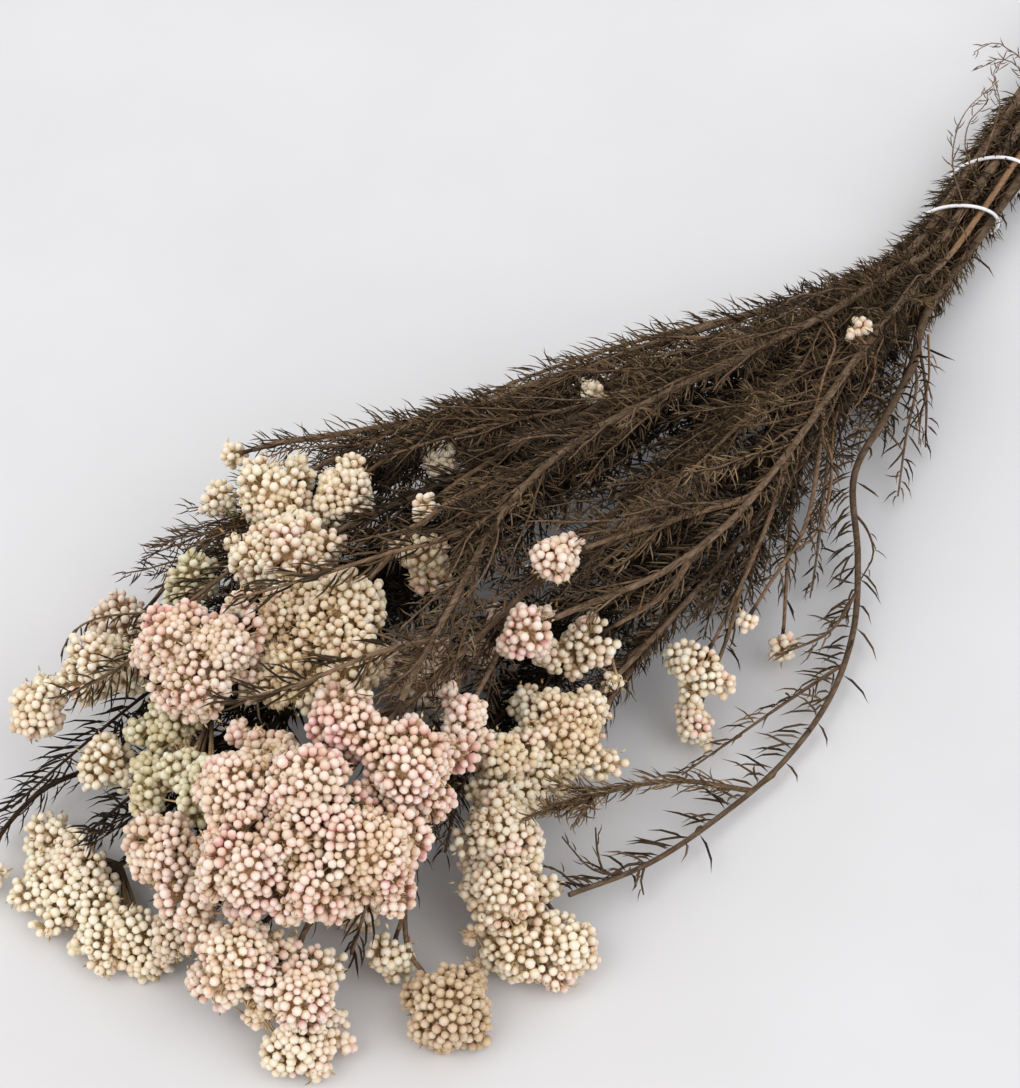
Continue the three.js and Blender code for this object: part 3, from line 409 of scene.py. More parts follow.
# Thin bare twigs: the stem that each grows from, how young its bark is, and its route
STRAY_TWIGS = [
    (8, 0.75, [(80, -36, 48), (68, -31, 48), (58, -23, 47), (49, -19, 46)]),
    (8, 0.75, [(79, -36, 47), (77, -45, 42), (72, -51, 34), (64, -54, 24), (58, -49, 16)]),
    (8, 0.75, [(80, -36, 48), (93, -28, 48), (105, -21, 46), (112, -10, 43)]),
    (8, 0.75, [(115, -18, 43), (114, -29, 39), (106, -34, 36), (96, -35, 33)]),
    (7, 0.75, [(150, -21, 18), (141, -30, 12), (130, -37, 8), (124, -42, 6)]),
    (0, 0.15, [(200, 9, 20), (203, 17, 28), (219, 27, 32), (238, 29, 34)]),
    (2, 0.15, [(221, 18, 20), (235, 25, 28), (242, 34, 33), (249, 33, 36)]),
    (0, 0.15, [(262, 34, 18), (256, 35, 30), (252, 38, 34), (251, 41, 35), (248, 43, 34), (244, 44, 33)]),
    (2, 0.15, [(250, 25, 20), (255, 34, 27), (249, 38, 31), (243, 37, 33), (238, 39, 32)]),
    (1, 0.15, [(214, 14, 16), (216, 22, 23), (223, 27, 27), (232, 28, 29), (237, 32, 29)]),
    (7, 1.0, [(107, -24, 21), (98, -30, 22), (85, -41, 18), (72, -49, 15), (58, -49, 14)]),
    (7, 0.0, [(80, -43, 19), (75, -47, 16), (66, -54, 12), (59, -59, 5)]),
    (9, 0.2, [(87, -49, 11), (85, -56, 11), (80, -63, 10), (73, -65, 7)]),
    (9, 0.1, [(-36, -91, 7), (-41, -88, 8), (-47, -88, 10), (-51, -84, 13), (-52, -80, 16),
        (-52, -75, 18)]),
    (9, 0.1, [(-44, -89, 9), (-48, -87, 10), (-46, -82, 12), (-42, -77, 14)]),
    (9, 0.1, [(-38, -91, 7), (-40, -92, 6), (-41, -93, 5), (-42, -95, 3)]),
    (9, 0.1, [(-53, -87, 10), (-56, -85, 11), (-58, -79, 14), (-61, -77, 16)]),
]

# A twig with hanging needles past the pink flower heads
HANGING_TWIG = (1, [(-83, 29, 40), (-89, 33, 41), (-97, 39, 42), (-105, 44, 42), (-111, 46, 40),
                (-115, 46, 36)])


def unit(vectors):
    """The vectors at length one. A vector with no length stays as it is."""
    length = np.linalg.norm(vectors, axis=-1, keepdims=True)
    return np.asarray(vectors) / np.where(length > 0, length, 1)


def ramp(low, high, value):
    """0 below low, 1 above high, and a smooth rise between them."""
    x = np.clip((np.asarray(value, float) - low) / (high - low), 0, 1)
    return x * x * (3 - 2 * x)


def scatter(seed):
    """A repeatable value from 0 to 1."""
    value = math.sin(seed * 12.9898) * 43758.5453
    return value - math.floor(value)


turn = math.radians(BUNDLE_TURN)
ALONG = np.array([math.cos(turn), math.sin(turn), 0.0])
ACROSS = np.array([-math.sin(turn), math.cos(turn), 0.0])


def in_bundle(from_butt, lane):
    return np.array(BUTT) - ALONG * from_butt + ACROSS * lane[0] + UP * lane[1]


tie_low, tie_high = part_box("tie_1")
SHIFT = (np.array(tie_low) + np.array(tie_high)) / 2 - in_bundle(TIE_PLACES["tie_1"], (0, 0)) * MM


def place(points):
    """Layout millimetres to the frame's metres."""
    return np.asarray(points, float) * MM + SHIFT


# Routes


@dataclass
class Head:
    name: str
    colour: str
    centres: np.ndarray
    radii: np.ndarray
    middle: np.ndarray
    back: np.ndarray = None
    neck: np.ndarray = None
    all_centres: np.ndarray = None
    all_radii: np.ndarray = None


@dataclass
class Strand:
    stem: int
    head: Head
    points: np.ndarray
    pinned: np.ndarray
    radius: np.ndarray
    parent: "Strand" = None
    joint: int = 0
    first: int = 0
    line: np.ndarray = None
    thickness: np.ndarray = None
    leafy: np.ndarray = None
    thin: bool = False


def make_head(name, colour, *lobes):
    table = np.array(lobes, float)
    weight = table[:, 3:] ** 2
    middle = (table[:, :3] * weight).sum(0) / weight.sum()
    whole = np.vstack([table, *(np.array([lobe], float) for lobe in FILL_LOBES.get(name, ()))])
    return Head(name, colour, table[:, :3], table[:, 3], middle,
                all_centres=whole[:, :3], all_radii=whole[:, 3])


def place_neck(head, before):
    """The neck starts just behind the buds, on the side that the branch comes from."""
    head.back = unit(before - head.middle)
    reach = ((head.centres - head.middle) @ head.back + NECK_SET * head.radii).max() + NECK_START
    head.neck = head.middle + head.back * reach


def spline(points, count):
    """Evenly spaced points on a centripetal curve through the given ones."""
    points = np.asarray(points, float)
    ends = [2 * points[0] - points[1], *points, 2 * points[-1] - points[-2]]
    chords = np.sqrt(np.linalg.norm(np.diff(ends, axis=0), axis=1))
    shares = np.linspace(0, len(points) - 1, max(201, 8 * count))
    spans = np.minimum(shares.astype(int), len(points) - 2)
    t = (shares - spans)[:, None]
    p0, p1, p2, p3 = (np.array([ends[i + k] for i in spans]) for k in range(4))
    d0, d1, d2 = (chords[spans + k][:, None] for k in range(3))
    start = ((p1 - p0) / d0 - (p2 - p0) / (d0 + d1) + (p2 - p1) / d1) * d1
    end = ((p2 - p1) / d1 - (p3 - p1) / (d1 + d2) + (p3 - p2) / d2) * d1
    fine = (p1 + start * t + (3 * (p2 - p1) - 2 * start - end) * t ** 2
            + (2 * (p1 - p2) + start + end) * t ** 3)
    run = np.concatenate([[0], np.cumsum(np.linalg.norm(np.diff(fine, axis=0), axis=1))])
    places = np.linspace(0, run[-1], count + 1)
    return np.stack([np.interp(places, run, fine[:, k]) for k in range(3)], axis=1)


def length_of(points):
    return np.linalg.norm(np.diff(points, axis=0), axis=1).sum()


def stepped(points, step):
    return spline(points, max(2, round(length_of(spline(points, 200)) / step)))


def make_strand(stem, guide, head, step, radii, pinned_from):
    if head:
        place_neck(head, guide[-1])
        guide = [*guide, head.neck + head.back * NECK_STRAIGHT]
    points = stepped(guide, step)
    if head:
        points = np.vstack([points, head.neck + head.back * GAP])
    pinned = points[:, 0] > pinned_from
    if head:
        pinned[-2:] = True
    return Strand(stem, head, points, pinned, np.linspace(*radii, len(points)))


def fork_of(trunk, joint):
    return (trunk.points[joint] + trunk.points[joint + 1]) / 2


def make_stem(stem, lane, path, head, branches, heads):
    start = [in_bundle(station, lane) for station in BUNDLE_STATIONS]
    start[0] = start[0] + ALONG * BUTT_STAGGER * (2 * scatter(stem + 1) - 1)
    guide = [*start, *np.array(path, float)]
    trunk = make_strand(stem, guide, heads.get(head), TRUNK_STEP, TRUNK_RADIUS, start[-1][0])
    strands = [trunk]
    forks = (trunk.points[1:] + trunk.points[:-1]) / 2
    for number, (at, route, tip) in enumerate(branches):
        joint = int(np.abs(forks[:, 0] - at).argmin())
        guide = [forks[joint], *np.array(route, float).reshape(-1, 3)]
        radii = BRANCH_RADIUS if tip else TWIG_RADIUS
        branch = make_strand(stem, guide, heads.get(tip), BRANCH_STEP, radii, np.inf)
        branch.parent, branch.joint = trunk, joint
        branch.thin = (stem, number) in THIN_BRANCHES
        strands.append(branch)
    return strands


def stalks_of(head):
    """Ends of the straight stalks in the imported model: the neck, then one to each lobe."""
    if len(head.radii) == 1:
        return [(head.neck, head.centres[0])]
    parting = head.neck - head.back * COLLAR
    return [(head.neck, parting), *((parting, centre) for centre in head.centres)]


def closest(a, b, c, d):
    """Where each segment a-b is closest to segment c-d: shares along both, and the offset."""
    u, v, w = b - a, d - c, a - c
    uu, uv, vv, uw, vw = ((p * q).sum(1) for p, q in ((u, u), (u, v), (v, v), (u, w), (v, w)))
    area = uu * vv - uv * uv
    s = np.where(area > 1e-9, (uv * vw - vv * uw) / np.where(area > 1e-9, area, 1), 0.5).clip(0, 1)
    t = ((uv * s + vw) / np.maximum(vv, 1e-9)).clip(0, 1)
    s = ((uv * t - uw) / np.maximum(uu, 1e-9)).clip(0, 1)
    return s, t, w + u * s[:, None] - v * t[:, None]


def ease(strands, heads):
    """Stems that pass each other, or a head, are eased apart, and stay smooth."""
    necks = [(head, *pair) for head in heads for pair in stalks_of(head)]
    points = np.vstack([*(strand.points for strand in strands), *(pair[1:] for pair in necks)])
    radius = np.concatenate([*(strand.radius for strand in strands), [STALK_RADIUS] * 2 * len(necks)])
    pinned = np.concatenate([*(strand.pinned for strand in strands), [True] * 2 * len(necks)])
    before, after = np.arange(len(points)), np.arange(len(points))
    owners, stems, starts = [], [], []
    first = 0
    for strand in strands:
        strand.first, last = first, first + len(strand.points) - 1
        before[first + 1:last + 1] -= 1
        after[first:last] += 1
        starts += range(first, last)
        owners += [strand.head] * (last - first)
        stems += [strand.stem] * (last - first)
        first = last + 1
    free = np.array(starts)
    for head, _, _ in necks:
        starts.append(first)
        owners.append(head)
        stems.append(head.name)
        first += 2
    starts = np.array(starts)
    i, j = np.triu_indices(len(starts), 1)
    wanted = [stems[a] != stems[b] and (owners[a] is not owners[b] or owners[a] is None)
              for a, b in zip(i, j)]
    i, j = starts[i[wanted]], starts[j[wanted]]
    _, _, offset = closest(points[i], points[i + 1], points[j], points[j + 1])
    near = np.linalg.norm(offset, axis=1) < EASE_NEAR
    i, j = i[near], j[near]
    centres = np.vstack([head.centres for head in heads])
    lobes = np.concatenate([head.radii for head in heads])
    k, m = (index.ravel() for index in np.indices((len(free), len(lobes))))
    k = free[k]
    rest, push = points.copy(), np.zeros_like(points)
    for turn_number in range(EASE_ROUNDS):
        s, t, offset = closest(points[i], points[i + 1], points[j], points[j + 1])
        apart = radius[i] + radius[j] + STEM_CLEARANCE - np.linalg.norm(offset, axis=1)
        hit = apart > 0
        way = unit(offset[hit]) * apart[hit, None] / 2
        for index, share, sign in ((i, 1 - s, 1), (i + 1, s, 1), (j, 1 - t, -1), (j + 1, t, -1)):
            np.add.at(push, index[hit], sign * way * share[hit, None])
        s, _, offset = closest(points[k], points[k + 1], centres[m], centres[m])
        apart = lobes[m] + radius[k] + LOBE_CLEARANCE - np.linalg.norm(offset, axis=1)
        hit = apart > 0
        way = unit(offset[hit]) * apart[hit, None] / 2
        for index, share in ((k, 1 - s), (k + 1, s)):
            np.add.at(push, index[hit], way * share[hit, None])
        smooth = max(EASE_SMOOTH * (1 - turn_number / (EASE_FADE * EASE_ROUNDS)), 0)
        moved = points - rest + push
        shift = moved * (1 - smooth) + (moved[before] + moved[after]) * smooth / 2
        points = np.where(pinned[:, None], points, rest + shift)
        points[:, 2] = np.where(pinned, points[:, 2], np.maximum(points[:, 2], radius + GAP))
        for strand in strands:
            if strand.parent:
                joint = strand.parent.first + strand.joint
                points[strand.first] = (points[joint] + points[joint + 1]) / 2
        push[:] = 0
    for strand in strands:
        strand.points = points[strand.first:strand.first + len(strand.points)]


heads = {name: make_head(name, *table) for name, table in HEADS.items()}
strands = [strand for stem, table in enumerate(STEMS) for strand in make_stem(stem, *table, heads)]
ease(strands, list(heads.values()))

LOBE_CENTRES = np.vstack([head.all_centres for head in heads.values()])
LOBE_RADII = np.concatenate([head.all_radii for head in heads.values()])
LOBE_OWNERS = np.concatenate([[name] * len(head.all_radii) for name, head in heads.items()])


def depth_in_lobes(points, margin):
    """How far each point is inside the nearest lobe, negative outside."""
    away = np.linalg.norm(points[:, None] - LOBE_CENTRES[None], axis=2)
    return (LOBE_RADII[None] + margin - away).max(1)


# Materials


class Nodes:
    """A node tree, built one node at a time."""

    def __init__(self, tree):
        self.tree = tree

    def link(self, value, socket):
        if isinstance(value, bpy.types.NodeSocket):
            self.tree.links.new(value, socket)
        else:
            socket.default_value = value

    def add(self, kind, inputs=(), **settings):
        node = self.tree.nodes.new(kind)
        for key, value in settings.items():
            setattr(node, key, value)
        for key, value in dict(inputs).items():
            self.link(value, node.inputs[key])
        return node

    def product(self, first, second):
        return self.add("ShaderNodeMath", {0: first, 1: second}, operation="MULTIPLY").outputs[0]


class Shader(Nodes):
    """A node material with a Principled surface."""

    def __init__(self, name):
        self.material = bpy.data.materials.new(name)
        self.material.use_nodes = True
        super().__init__(self.material.node_tree)
        self.surface = self.tree.nodes["Principled BSDF"]
        self.place = self.add("ShaderNodeTexCoord").outputs["Object"]

    def attribute(self, name):
        return self.add("ShaderNodeAttribute", attribute_name=name).outputs["Fac"]

    def noise(self, scale, detail=3.0, roughness=0.6, place=None):
        return self.add("ShaderNodeTexNoise", {"Vector": place or self.place, "Scale": scale,
                                               "Detail": detail, "Roughness": roughness}).outputs["Fac"]

    def ramp(self, value, stops):
        node = self.add("ShaderNodeValToRGB", {"Fac": value})
        elements = node.color_ramp.elements
        while len(elements) < len(stops):
            elements.new(0.5)
        for element, (position, colour) in zip(elements, stops):
            element.position = position
            element.color = (*colour, 1)
        return node.outputs["Color"]

    def mix(self, share, first, second, blend="MIX"):
        node = self.add("ShaderNodeMix", data_type="RGBA", blend_type=blend)
        for socket, value in ((node.inputs[0], share), (node.inputs[6], first), (node.inputs[7], second)):
            self.link((*value, 1) if isinstance(value, tuple) else value, socket)
        return node.outputs[2]

    def fade(self, value, low, high):
        """Black below low, white above high."""
        return self.ramp(value, [(low, (0, 0, 0)), (high, (1, 1, 1))])

    def bump(self, height, strength, distance):
        node = self.add("ShaderNodeBump", {"Height": height, "Strength": strength, "Distance": distance})
        self.link(node.outputs["Normal"], self.surface.inputs["Normal"])

    def finish(self, colour, **sockets):
        self.link(colour, self.surface.inputs["Base Color"])
        for key, value in sockets.items():
            self.link(value, self.surface.inputs[key.replace("_", " ")])
        return self.material


# Bud colours: at the foot, which is partly the buds' own tan base and partly painted shade, on the sides from
# the least to the most tinted, and on top, which is a painted highlight
BUD_PALETTES = {
    "cream": ((0.72, 0.51, 0.28),
        [(0.87, 0.78, 0.56), (0.86, 0.71, 0.5), (0.84, 0.61, 0.46), (0.78, 0.48, 0.42)], (0.93, 0.87, 0.75)),
    "pink": ((0.69, 0.42, 0.27),
        [(0.87, 0.71, 0.56), (0.85, 0.6, 0.49), (0.81, 0.48, 0.42), (0.73, 0.35, 0.36)], (0.93, 0.84, 0.75)),
    "green": ((0.62, 0.52, 0.26),
        [(0.82, 0.79, 0.54), (0.74, 0.71, 0.47), (0.67, 0.63, 0.4), (0.79, 0.63, 0.47)], (0.9, 0.87, 0.71)),
    "tan": ((0.45, 0.29, 0.15),
        [(0.77, 0.64, 0.48), (0.71, 0.56, 0.42), (0.66, 0.48, 0.36), (0.69, 0.46, 0.39)], (0.87, 0.79, 0.67)),
}


def bud_material(colour):
    shader = Shader(f"{colour} buds")
    foot, sides, top = BUD_PALETTES[colour]
    skin = shader.ramp(shader.attribute("tint"), list(zip((0.0, 0.4, 0.75, 1.0), sides)))
    rise = shader.attribute("rise")
    mottle = shader.ramp(shader.noise(1100, 3.0), [(0.35, (0.6, 0.6, 0.6)), (0.65, (1, 1, 1))])
    # The pale top of each bud is a painted highlight, broken up by a fine mottle.
    painted_highlight = shader.product(shader.fade(rise, 0.62, 0.97), mottle)
    skin = shader.mix(painted_highlight, skin, top)
    # Buds that lie deeper in the head are mixed towards a darker tan: painted shade in the hollows.
    skin = shader.mix(shader.product(shader.attribute("deep"), 0.55), skin, (0.80, 0.60, 0.36))
    # The foot of each bud turns to the foot colour: partly the bud's own tan base, partly painted shade.
    skin = shader.mix(shader.fade(rise, 0.1, 0.45), foot, skin)
    # Heads are multiplied towards brown by this share: partly their age, partly painted shade.
    browned_and_shaded = shader.mix(1.0, skin, (0.77, 0.69, 0.55), "MULTIPLY")
    skin = shader.mix(shader.attribute("aged"), skin, browned_and_shaded)
    shader.bump(shader.noise(2400, 3.0), 0.3, 0.0003)
    return shader.finish(skin, Roughness=0.6, Specular_IOR_Level=0.3, Subsurface_Weight=0.2,
                         Subsurface_Scale=0.0015)


def bark_material():
    shader = Shader("bark")
    along = shader.add("ShaderNodeMapping", {"Vector": shader.place, "Rotation": (0, 0, -turn),
                                             "Scale": (0.2, 1, 1)}).outputs[0]
    grain = shader.noise(1300, 5.0, 0.7, along)
    old = shader.ramp(grain, [(0.3, (0.06, 0.037, 0.022)), (0.52, (0.17, 0.115, 0.072)),
                              (0.72, (0.32, 0.23, 0.155))])
    young = shader.ramp(grain, [(0.3, (0.17, 0.08, 0.035)), (0.7, (0.42, 0.25, 0.13))])
    skin = shader.mix(shader.attribute("young"), old, young)
    # The low attribute darkens bark deep under the crown of the spray: painted shade. On the arched stem it
    # darkens the bark evenly, as that stem's own darker colour.
    dark = shader.mix(1.0, skin, (0.20, 0.17, 0.14), "MULTIPLY")
    shader.bump(shader.noise(1500, 6.0, 0.75), 0.6, 0.0005)
    return shader.finish(shader.mix(shader.attribute("low"), skin, dark), Roughness=0.82,
                         Specular_IOR_Level=0.2)


def needle_material():
    shader = Shader("needle leaves")
    # The tint runs from near-black to warm brown. Its dark end carries the needles' own tone and the painted
    # shade of needles deep in the spray.
    skin = shader.ramp(shader.attribute("tint"), [
        (0.0, (0.006, 0.004, 0.003)), (0.3, (0.032, 0.020, 0.010)), (0.6, (0.120, 0.074, 0.036)),
        (1.0, (0.34, 0.23, 0.12))])
    streaks = shader.product(shader.noise(1800, 2.0), 0.16)
    skin = shader.mix(streaks, skin, (0.13, 0.09, 0.045))
    return shader.finish(skin, Roughness=0.7, Specular_IOR_Level=0.2)


def stalk_material():
    shader = Shader("flower stalks")
    share = shader.fade(shader.attribute("young"), 0.1, 0.8)
    skin = shader.ramp(shader.noise(700, 4.0), [(0.3, (0.46, 0.29, 0.14)), (0.5, (0.62, 0.43, 0.23)),
                                                (0.7, (0.70, 0.54, 0.32))])
    return shader.finish(shader.mix(share, (0.06, 0.036, 0.02), skin), Roughness=0.8, Specular_IOR_Level=0.25)


def core_material():
    shader = Shader("heart of a flower head")
    skin = shader.ramp(shader.noise(1100, 4.0, 0.7), [(0.3, (0.55, 0.34, 0.16)), (0.7, (0.74, 0.52, 0.28))])
    shader.bump(shader.noise(1500, 4.0), 0.8, 0.001)
    return shader.finish(skin, Roughness=0.9, Specular_IOR_Level=0.2)


def husk_material():
    shader = Shader("dried husks")
    skin = shader.ramp(shader.attribute("tint"), [(0.0, (0.34, 0.19, 0.07)), (0.5, (0.60, 0.43, 0.20)),
                                                  (0.8, (0.70, 0.58, 0.32)), (1.0, (0.70, 0.46, 0.38))])
    return shader.finish(skin, Roughness=0.85, Specular_IOR_Level=0.2)


def tie_material():
    shader = Shader("white tie")
    skin = shader.ramp(shader.noise(500, 2.0), [(0.3, (0.80, 0.79, 0.80)), (0.7, (0.90, 0.89, 0.89))])
    return shader.finish(skin, Roughness=0.38)


BUDS = {colour: bud_material(colour) for colour in BUD_PALETTES}
BARK, NEEDLES, STALKS = bark_material(), needle_material(), stalk_material()
CORES, HUSKS, TIES = core_material(), husk_material(), tie_material()

# Geometry Nodes


class Tree(Nodes):
    """A Geometry Nodes tree with named inputs."""

    def __init__(self, name, **inputs):
        super().__init__(bpy.data.node_groups.new(name, "GeometryNodeTree"))
        sockets = self.tree.interface
        for label, kind in {"Geometry": "Geometry", **inputs}.items():
            sockets.new_socket(label.replace("_", " "), in_out="INPUT", socket_type=f"NodeSocket{kind}")
        sockets.new_socket("Geometry", in_out="OUTPUT", socket_type="NodeSocketGeometry")
        self.given = self.add("NodeGroupInput").outputs

    def attribute(self, name, kind="FLOAT"):
        node = self.add("GeometryNodeInputNamedAttribute", {"Name": name}, data_type=kind)
        return node.outputs["Attribute"]

    def finish(self, geometry):
        real = self.add("GeometryNodeRealizeInstances", {"Geometry": geometry})
        coloured = self.add("GeometryNodeSetMaterial", {"Geometry": real.outputs[0],
                                                        "Material": self.given["Material"]})
        self.add("NodeGroupOutput", {0: coloured.outputs[0]})
        return self.tree

    def repeat(self, label, way, across, scale):
        """A copy of the object in the input of this label on each point, facing along way."""
        points = self.add("GeometryNodeMeshToPoints", {"Mesh": self.given["Geometry"]})
        shape = self.add("GeometryNodeObjectInfo", {"Object": self.given[label]})
        facing = self.add("FunctionNodeAxesToRotation", {"Primary Axis": way, "Secondary Axis": across})
        copies = self.add("GeometryNodeInstanceOnPoints", {
            "Points": points.outputs[0], "Instance": shape.outputs["Geometry"],
            "Rotation": facing.outputs[0], "Scale": scale})
        return self.finish(copies.outputs[0])


def bud_tree():
    """A bud on each point, facing along its "out" attribute and as large as its "size"."""
    tree = Tree("buds on points", Bud="Object", Bud_Radius="Float", Spin_Seed="Int", Material="Material")
    spin = tree.add("FunctionNodeRandomValue", {"Min": (-1, -1, -1), "Max": (1, 1, 1),
                                                "Seed": tree.given["Spin Seed"]}, data_type="FLOAT_VECTOR")
    size = tree.product(tree.attribute("size"), tree.given["Bud Radius"])
    return tree.repeat("Bud", tree.attribute("out", "FLOAT_VECTOR"), spin.outputs["Value"], size)


def sprout_tree():
    """A blade on each point, along its "way" attribute, curving towards its "bend"."""
    tree = Tree("blades on points", Blade="Object", Thickness="Float", Material="Material")
    girth = tree.product(tree.attribute("girth"), tree.given["Thickness"])
    scale = tree.add("ShaderNodeCombineXYZ", {"X": girth, "Y": girth, "Z": tree.attribute("length")})
    way, bend = (tree.attribute(name, "FLOAT_VECTOR") for name in ("way", "bend"))
    return tree.repeat("Blade", way, bend, scale.outputs[0])


def tube_tree():
    """A round tube along each line of edges, as thick as its "thickness" attribute."""
    tree = Tree("tubes along lines", Sides="Int", Material="Material")
    lines = tree.add("GeometryNodeMeshToCurve", {"Mesh": tree.given["Geometry"]})
    profile = tree.add("GeometryNodeCurvePrimitiveCircle", {"Resolution": tree.given["Sides"], "Radius": 1.0})
    tubes = tree.add("GeometryNodeCurveToMesh", {
        "Curve": lines.outputs[0], "Profile Curve": profile.outputs[0],
        "Scale": tree.attribute("thickness"), "Fill Caps": True})
    smooth = tree.add("GeometryNodeSetShadeSmooth", {"Geometry": tubes.outputs[0]})
    return tree.finish(smooth.outputs[0])


BUD_TREE, SPROUT_TREE, TUBE_TREE = bud_tree(), sprout_tree(), tube_tree()


def made(name, points, edges=(), tree=None, inputs=(), **attributes):
    """A plain mesh object that a tree grows from points in layout millimetres."""
    mesh = bpy.data.meshes.new(name)
    mesh.from_pydata(place(points).tolist(), [tuple(edge) for edge in edges], [])
    for key, values in attributes.items():
        values = np.asarray(values, np.float32)
        kind = "FLOAT_VECTOR" if values.ndim == 2 else "FLOAT"
        slot = "vector" if values.ndim == 2 else "value"
        mesh.attributes.new(key, kind, "POINT").data.foreach_set(slot, values.ravel())
    piece = bpy.data.objects.new(name, mesh)
    bpy.context.scene.collection.objects.link(piece)
    grow = piece.modifiers.new("Grow", "NODES")
    grow.node_group = tree
    for socket in tree.interface.items_tree:
        if socket.in_out == "INPUT" and socket.name in dict(inputs):
            grow[socket.identifier] = inputs[socket.name]
    graph = bpy.context.evaluated_depsgraph_get()
    grown = bpy.data.meshes.new_from_object(piece.evaluated_get(graph), depsgraph=graph)
    piece.modifiers.remove(grow)
    piece.data = grown
    bpy.data.meshes.remove(mesh)
    grown.name = name
    return piece


def dress(piece, node):
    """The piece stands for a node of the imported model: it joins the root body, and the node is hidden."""
    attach(piece, "root")
    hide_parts(node)


def joined(first, *others):
    if not others:
        return first
    with bpy.context.temp_override(active_object=first, selected_editable_objects=[first, *others]):
        bpy.ops.object.join()
    return first


def template(name, corners, faces, **attributes):
    """A small mesh, in no scene, that the trees repeat."""
    mesh = bpy.data.meshes.new(name)
    mesh.from_pydata([tuple(map(float, corner)) for corner in corners], [], faces)
    for key, values in attributes.items():
        mesh.attributes.new(key, "FLOAT", "POINT").data.foreach_set("value", np.asarray(values, np.float32))
    mesh.shade_smooth()
    return bpy.data.objects.new(name, mesh)


def turned(profile, sides):
    """Corners and faces of a closed body round Z through rings of (height, radius, x shift)."""
    corners, faces = [(profile[0][2], 0, profile[0][0])], []
    rings = profile[1:-1]
    for height, radius, shift in rings:
        for k in range(sides):
            angle = 2 * math.pi * k / sides
            corners.append((shift + radius * math.cos(angle), radius * math.sin(angle), height))
    corners.append((profile[-1][2], 0, profile[-1][0]))
    last = len(corners) - 1
    for k in range(sides):
        n = (k + 1) % sides
        faces.append((0, 1 + n, 1 + k))
        for r in range(len(rings) - 1):
            a = 1 + r * sides
            faces.append((a + k, a + n, a + sides + n, a + sides + k))
        top = 1 + (len(rings) - 1) * sides
        faces.append((top + k, top + n, last))
    return corners, faces


# A drop with its point at the foot. Its rise is 0 at the foot and 1 at the top.
BUD_PROFILE = [(-1.7, 0, 0), (-0.12, 1.0, 0), (0.64, 0.77, 0), (1.03, 0, 0)]
INNER_PROFILE = [(-1.6, 0, 0), (-0.1, 0.98, 0), (0.68, 0.7, 0), (1.0, 0, 0)]


def bud_template(name, profile, sides):
    corners, faces = turned(profile, sides)
    low, high = profile[0][0], profile[-1][0]
    return template(name, corners, faces, rise=[(corner[2] - low) / (high - low) for corner in corners])


bud = bud_template("bud", BUD_PROFILE, 7)
inner_bud = bud_template("inner bud", INNER_PROFILE, 5)

# Thin needles that bend towards +X: on the stems, on the side twigs, and deep in the bunch
NEEDLE_PROFILE = [(0, 0, 0), (0.3, 1.0, 0.8), (0.7, 0.85, 5.2), (1.0, 0, 12.0)]
FINE_PROFILE = [(0, 0, 0), (0.3, 1.0, 0.6), (0.7, 0.85, 4.4), (1.0, 0, 9.5)]
LOW_PROFILE = [(0, 0, 0), (0.5, 1.0, 1.4), (1.0, 0, 5.0)]
needle = template("needle", *turned(NEEDLE_PROFILE, 3))
fine_needle = template("fine needle", *turned(FINE_PROFILE, 3))
low_needle = template("low needle", *turned(LOW_PROFILE, 3))

# A short flat blade
HUSK_PROFILE = [(0, 0, 0), (0.45, 1.0, 0.2), (1.0, 0, 1.3)]
husk = template("husk", *turned(HUSK_PROFILE, 3))

# Flower heads


def fibonacci(count, rng, stray):
    """Directions spread evenly all round, each a little astray."""
    k = np.arange(count)
    height = 1 - (2 * k + 1) / count
    angle = k * math.pi * (3 - math.sqrt(5)) + rng.uniform(0, 2 * math.pi)
    flat = np.sqrt(1 - height ** 2)
    ways = np.stack([flat * np.cos(angle), flat * np.sin(angle), height], axis=1)
    basis = np.linalg.qr(rng.normal(size=(3, 3)))[0]
    return unit(ways @ basis + rng.normal(size=ways.shape) * stray)


def blended(head, points):
    """How far points are outside the blended skin of a head's lobes, and the way outwards."""
    offset = points[:, None] - head.all_centres
    away = np.linalg.norm(offset, axis=2)
    depth = away - head.all_radii
    low = depth.min(1, keepdims=True)
    weight = np.exp((low - depth) / BLEND)
    outward = unit((offset / away[..., None] * weight[..., None]).sum(1))
    return low[:, 0] - BLEND * np.log(weight.sum(1)), outward


def settled(head, points, level):
    """The points moved to one level of the blended skin."""
    for _ in range(4):
        depth, outward = blended(head, points)
        points = points - outward * (depth - level)[:, None]
    return points


def spaced(points, gap, taken=()):
    """Which points, in their order, keep a gap from each other and from those taken."""
    free = np.ones(len(points), bool)
    for spot in taken:
        free &= np.linalg.norm(points - spot, axis=1) > gap
    kept = []
    for k in range(len(points)):
        if free[k]:
            kept.append(k)
            free &= np.linalg.norm(points - points[k], axis=1) > gap
    return np.array(kept, int)


def in_other_head(head, points):
    other = LOBE_OWNERS != head.name
    away = np.linalg.norm(points[:, None] - LOBE_CENTRES[other], axis=2)
    return (away < LOBE_RADII[other] - BUD_RADIUS).any(1)


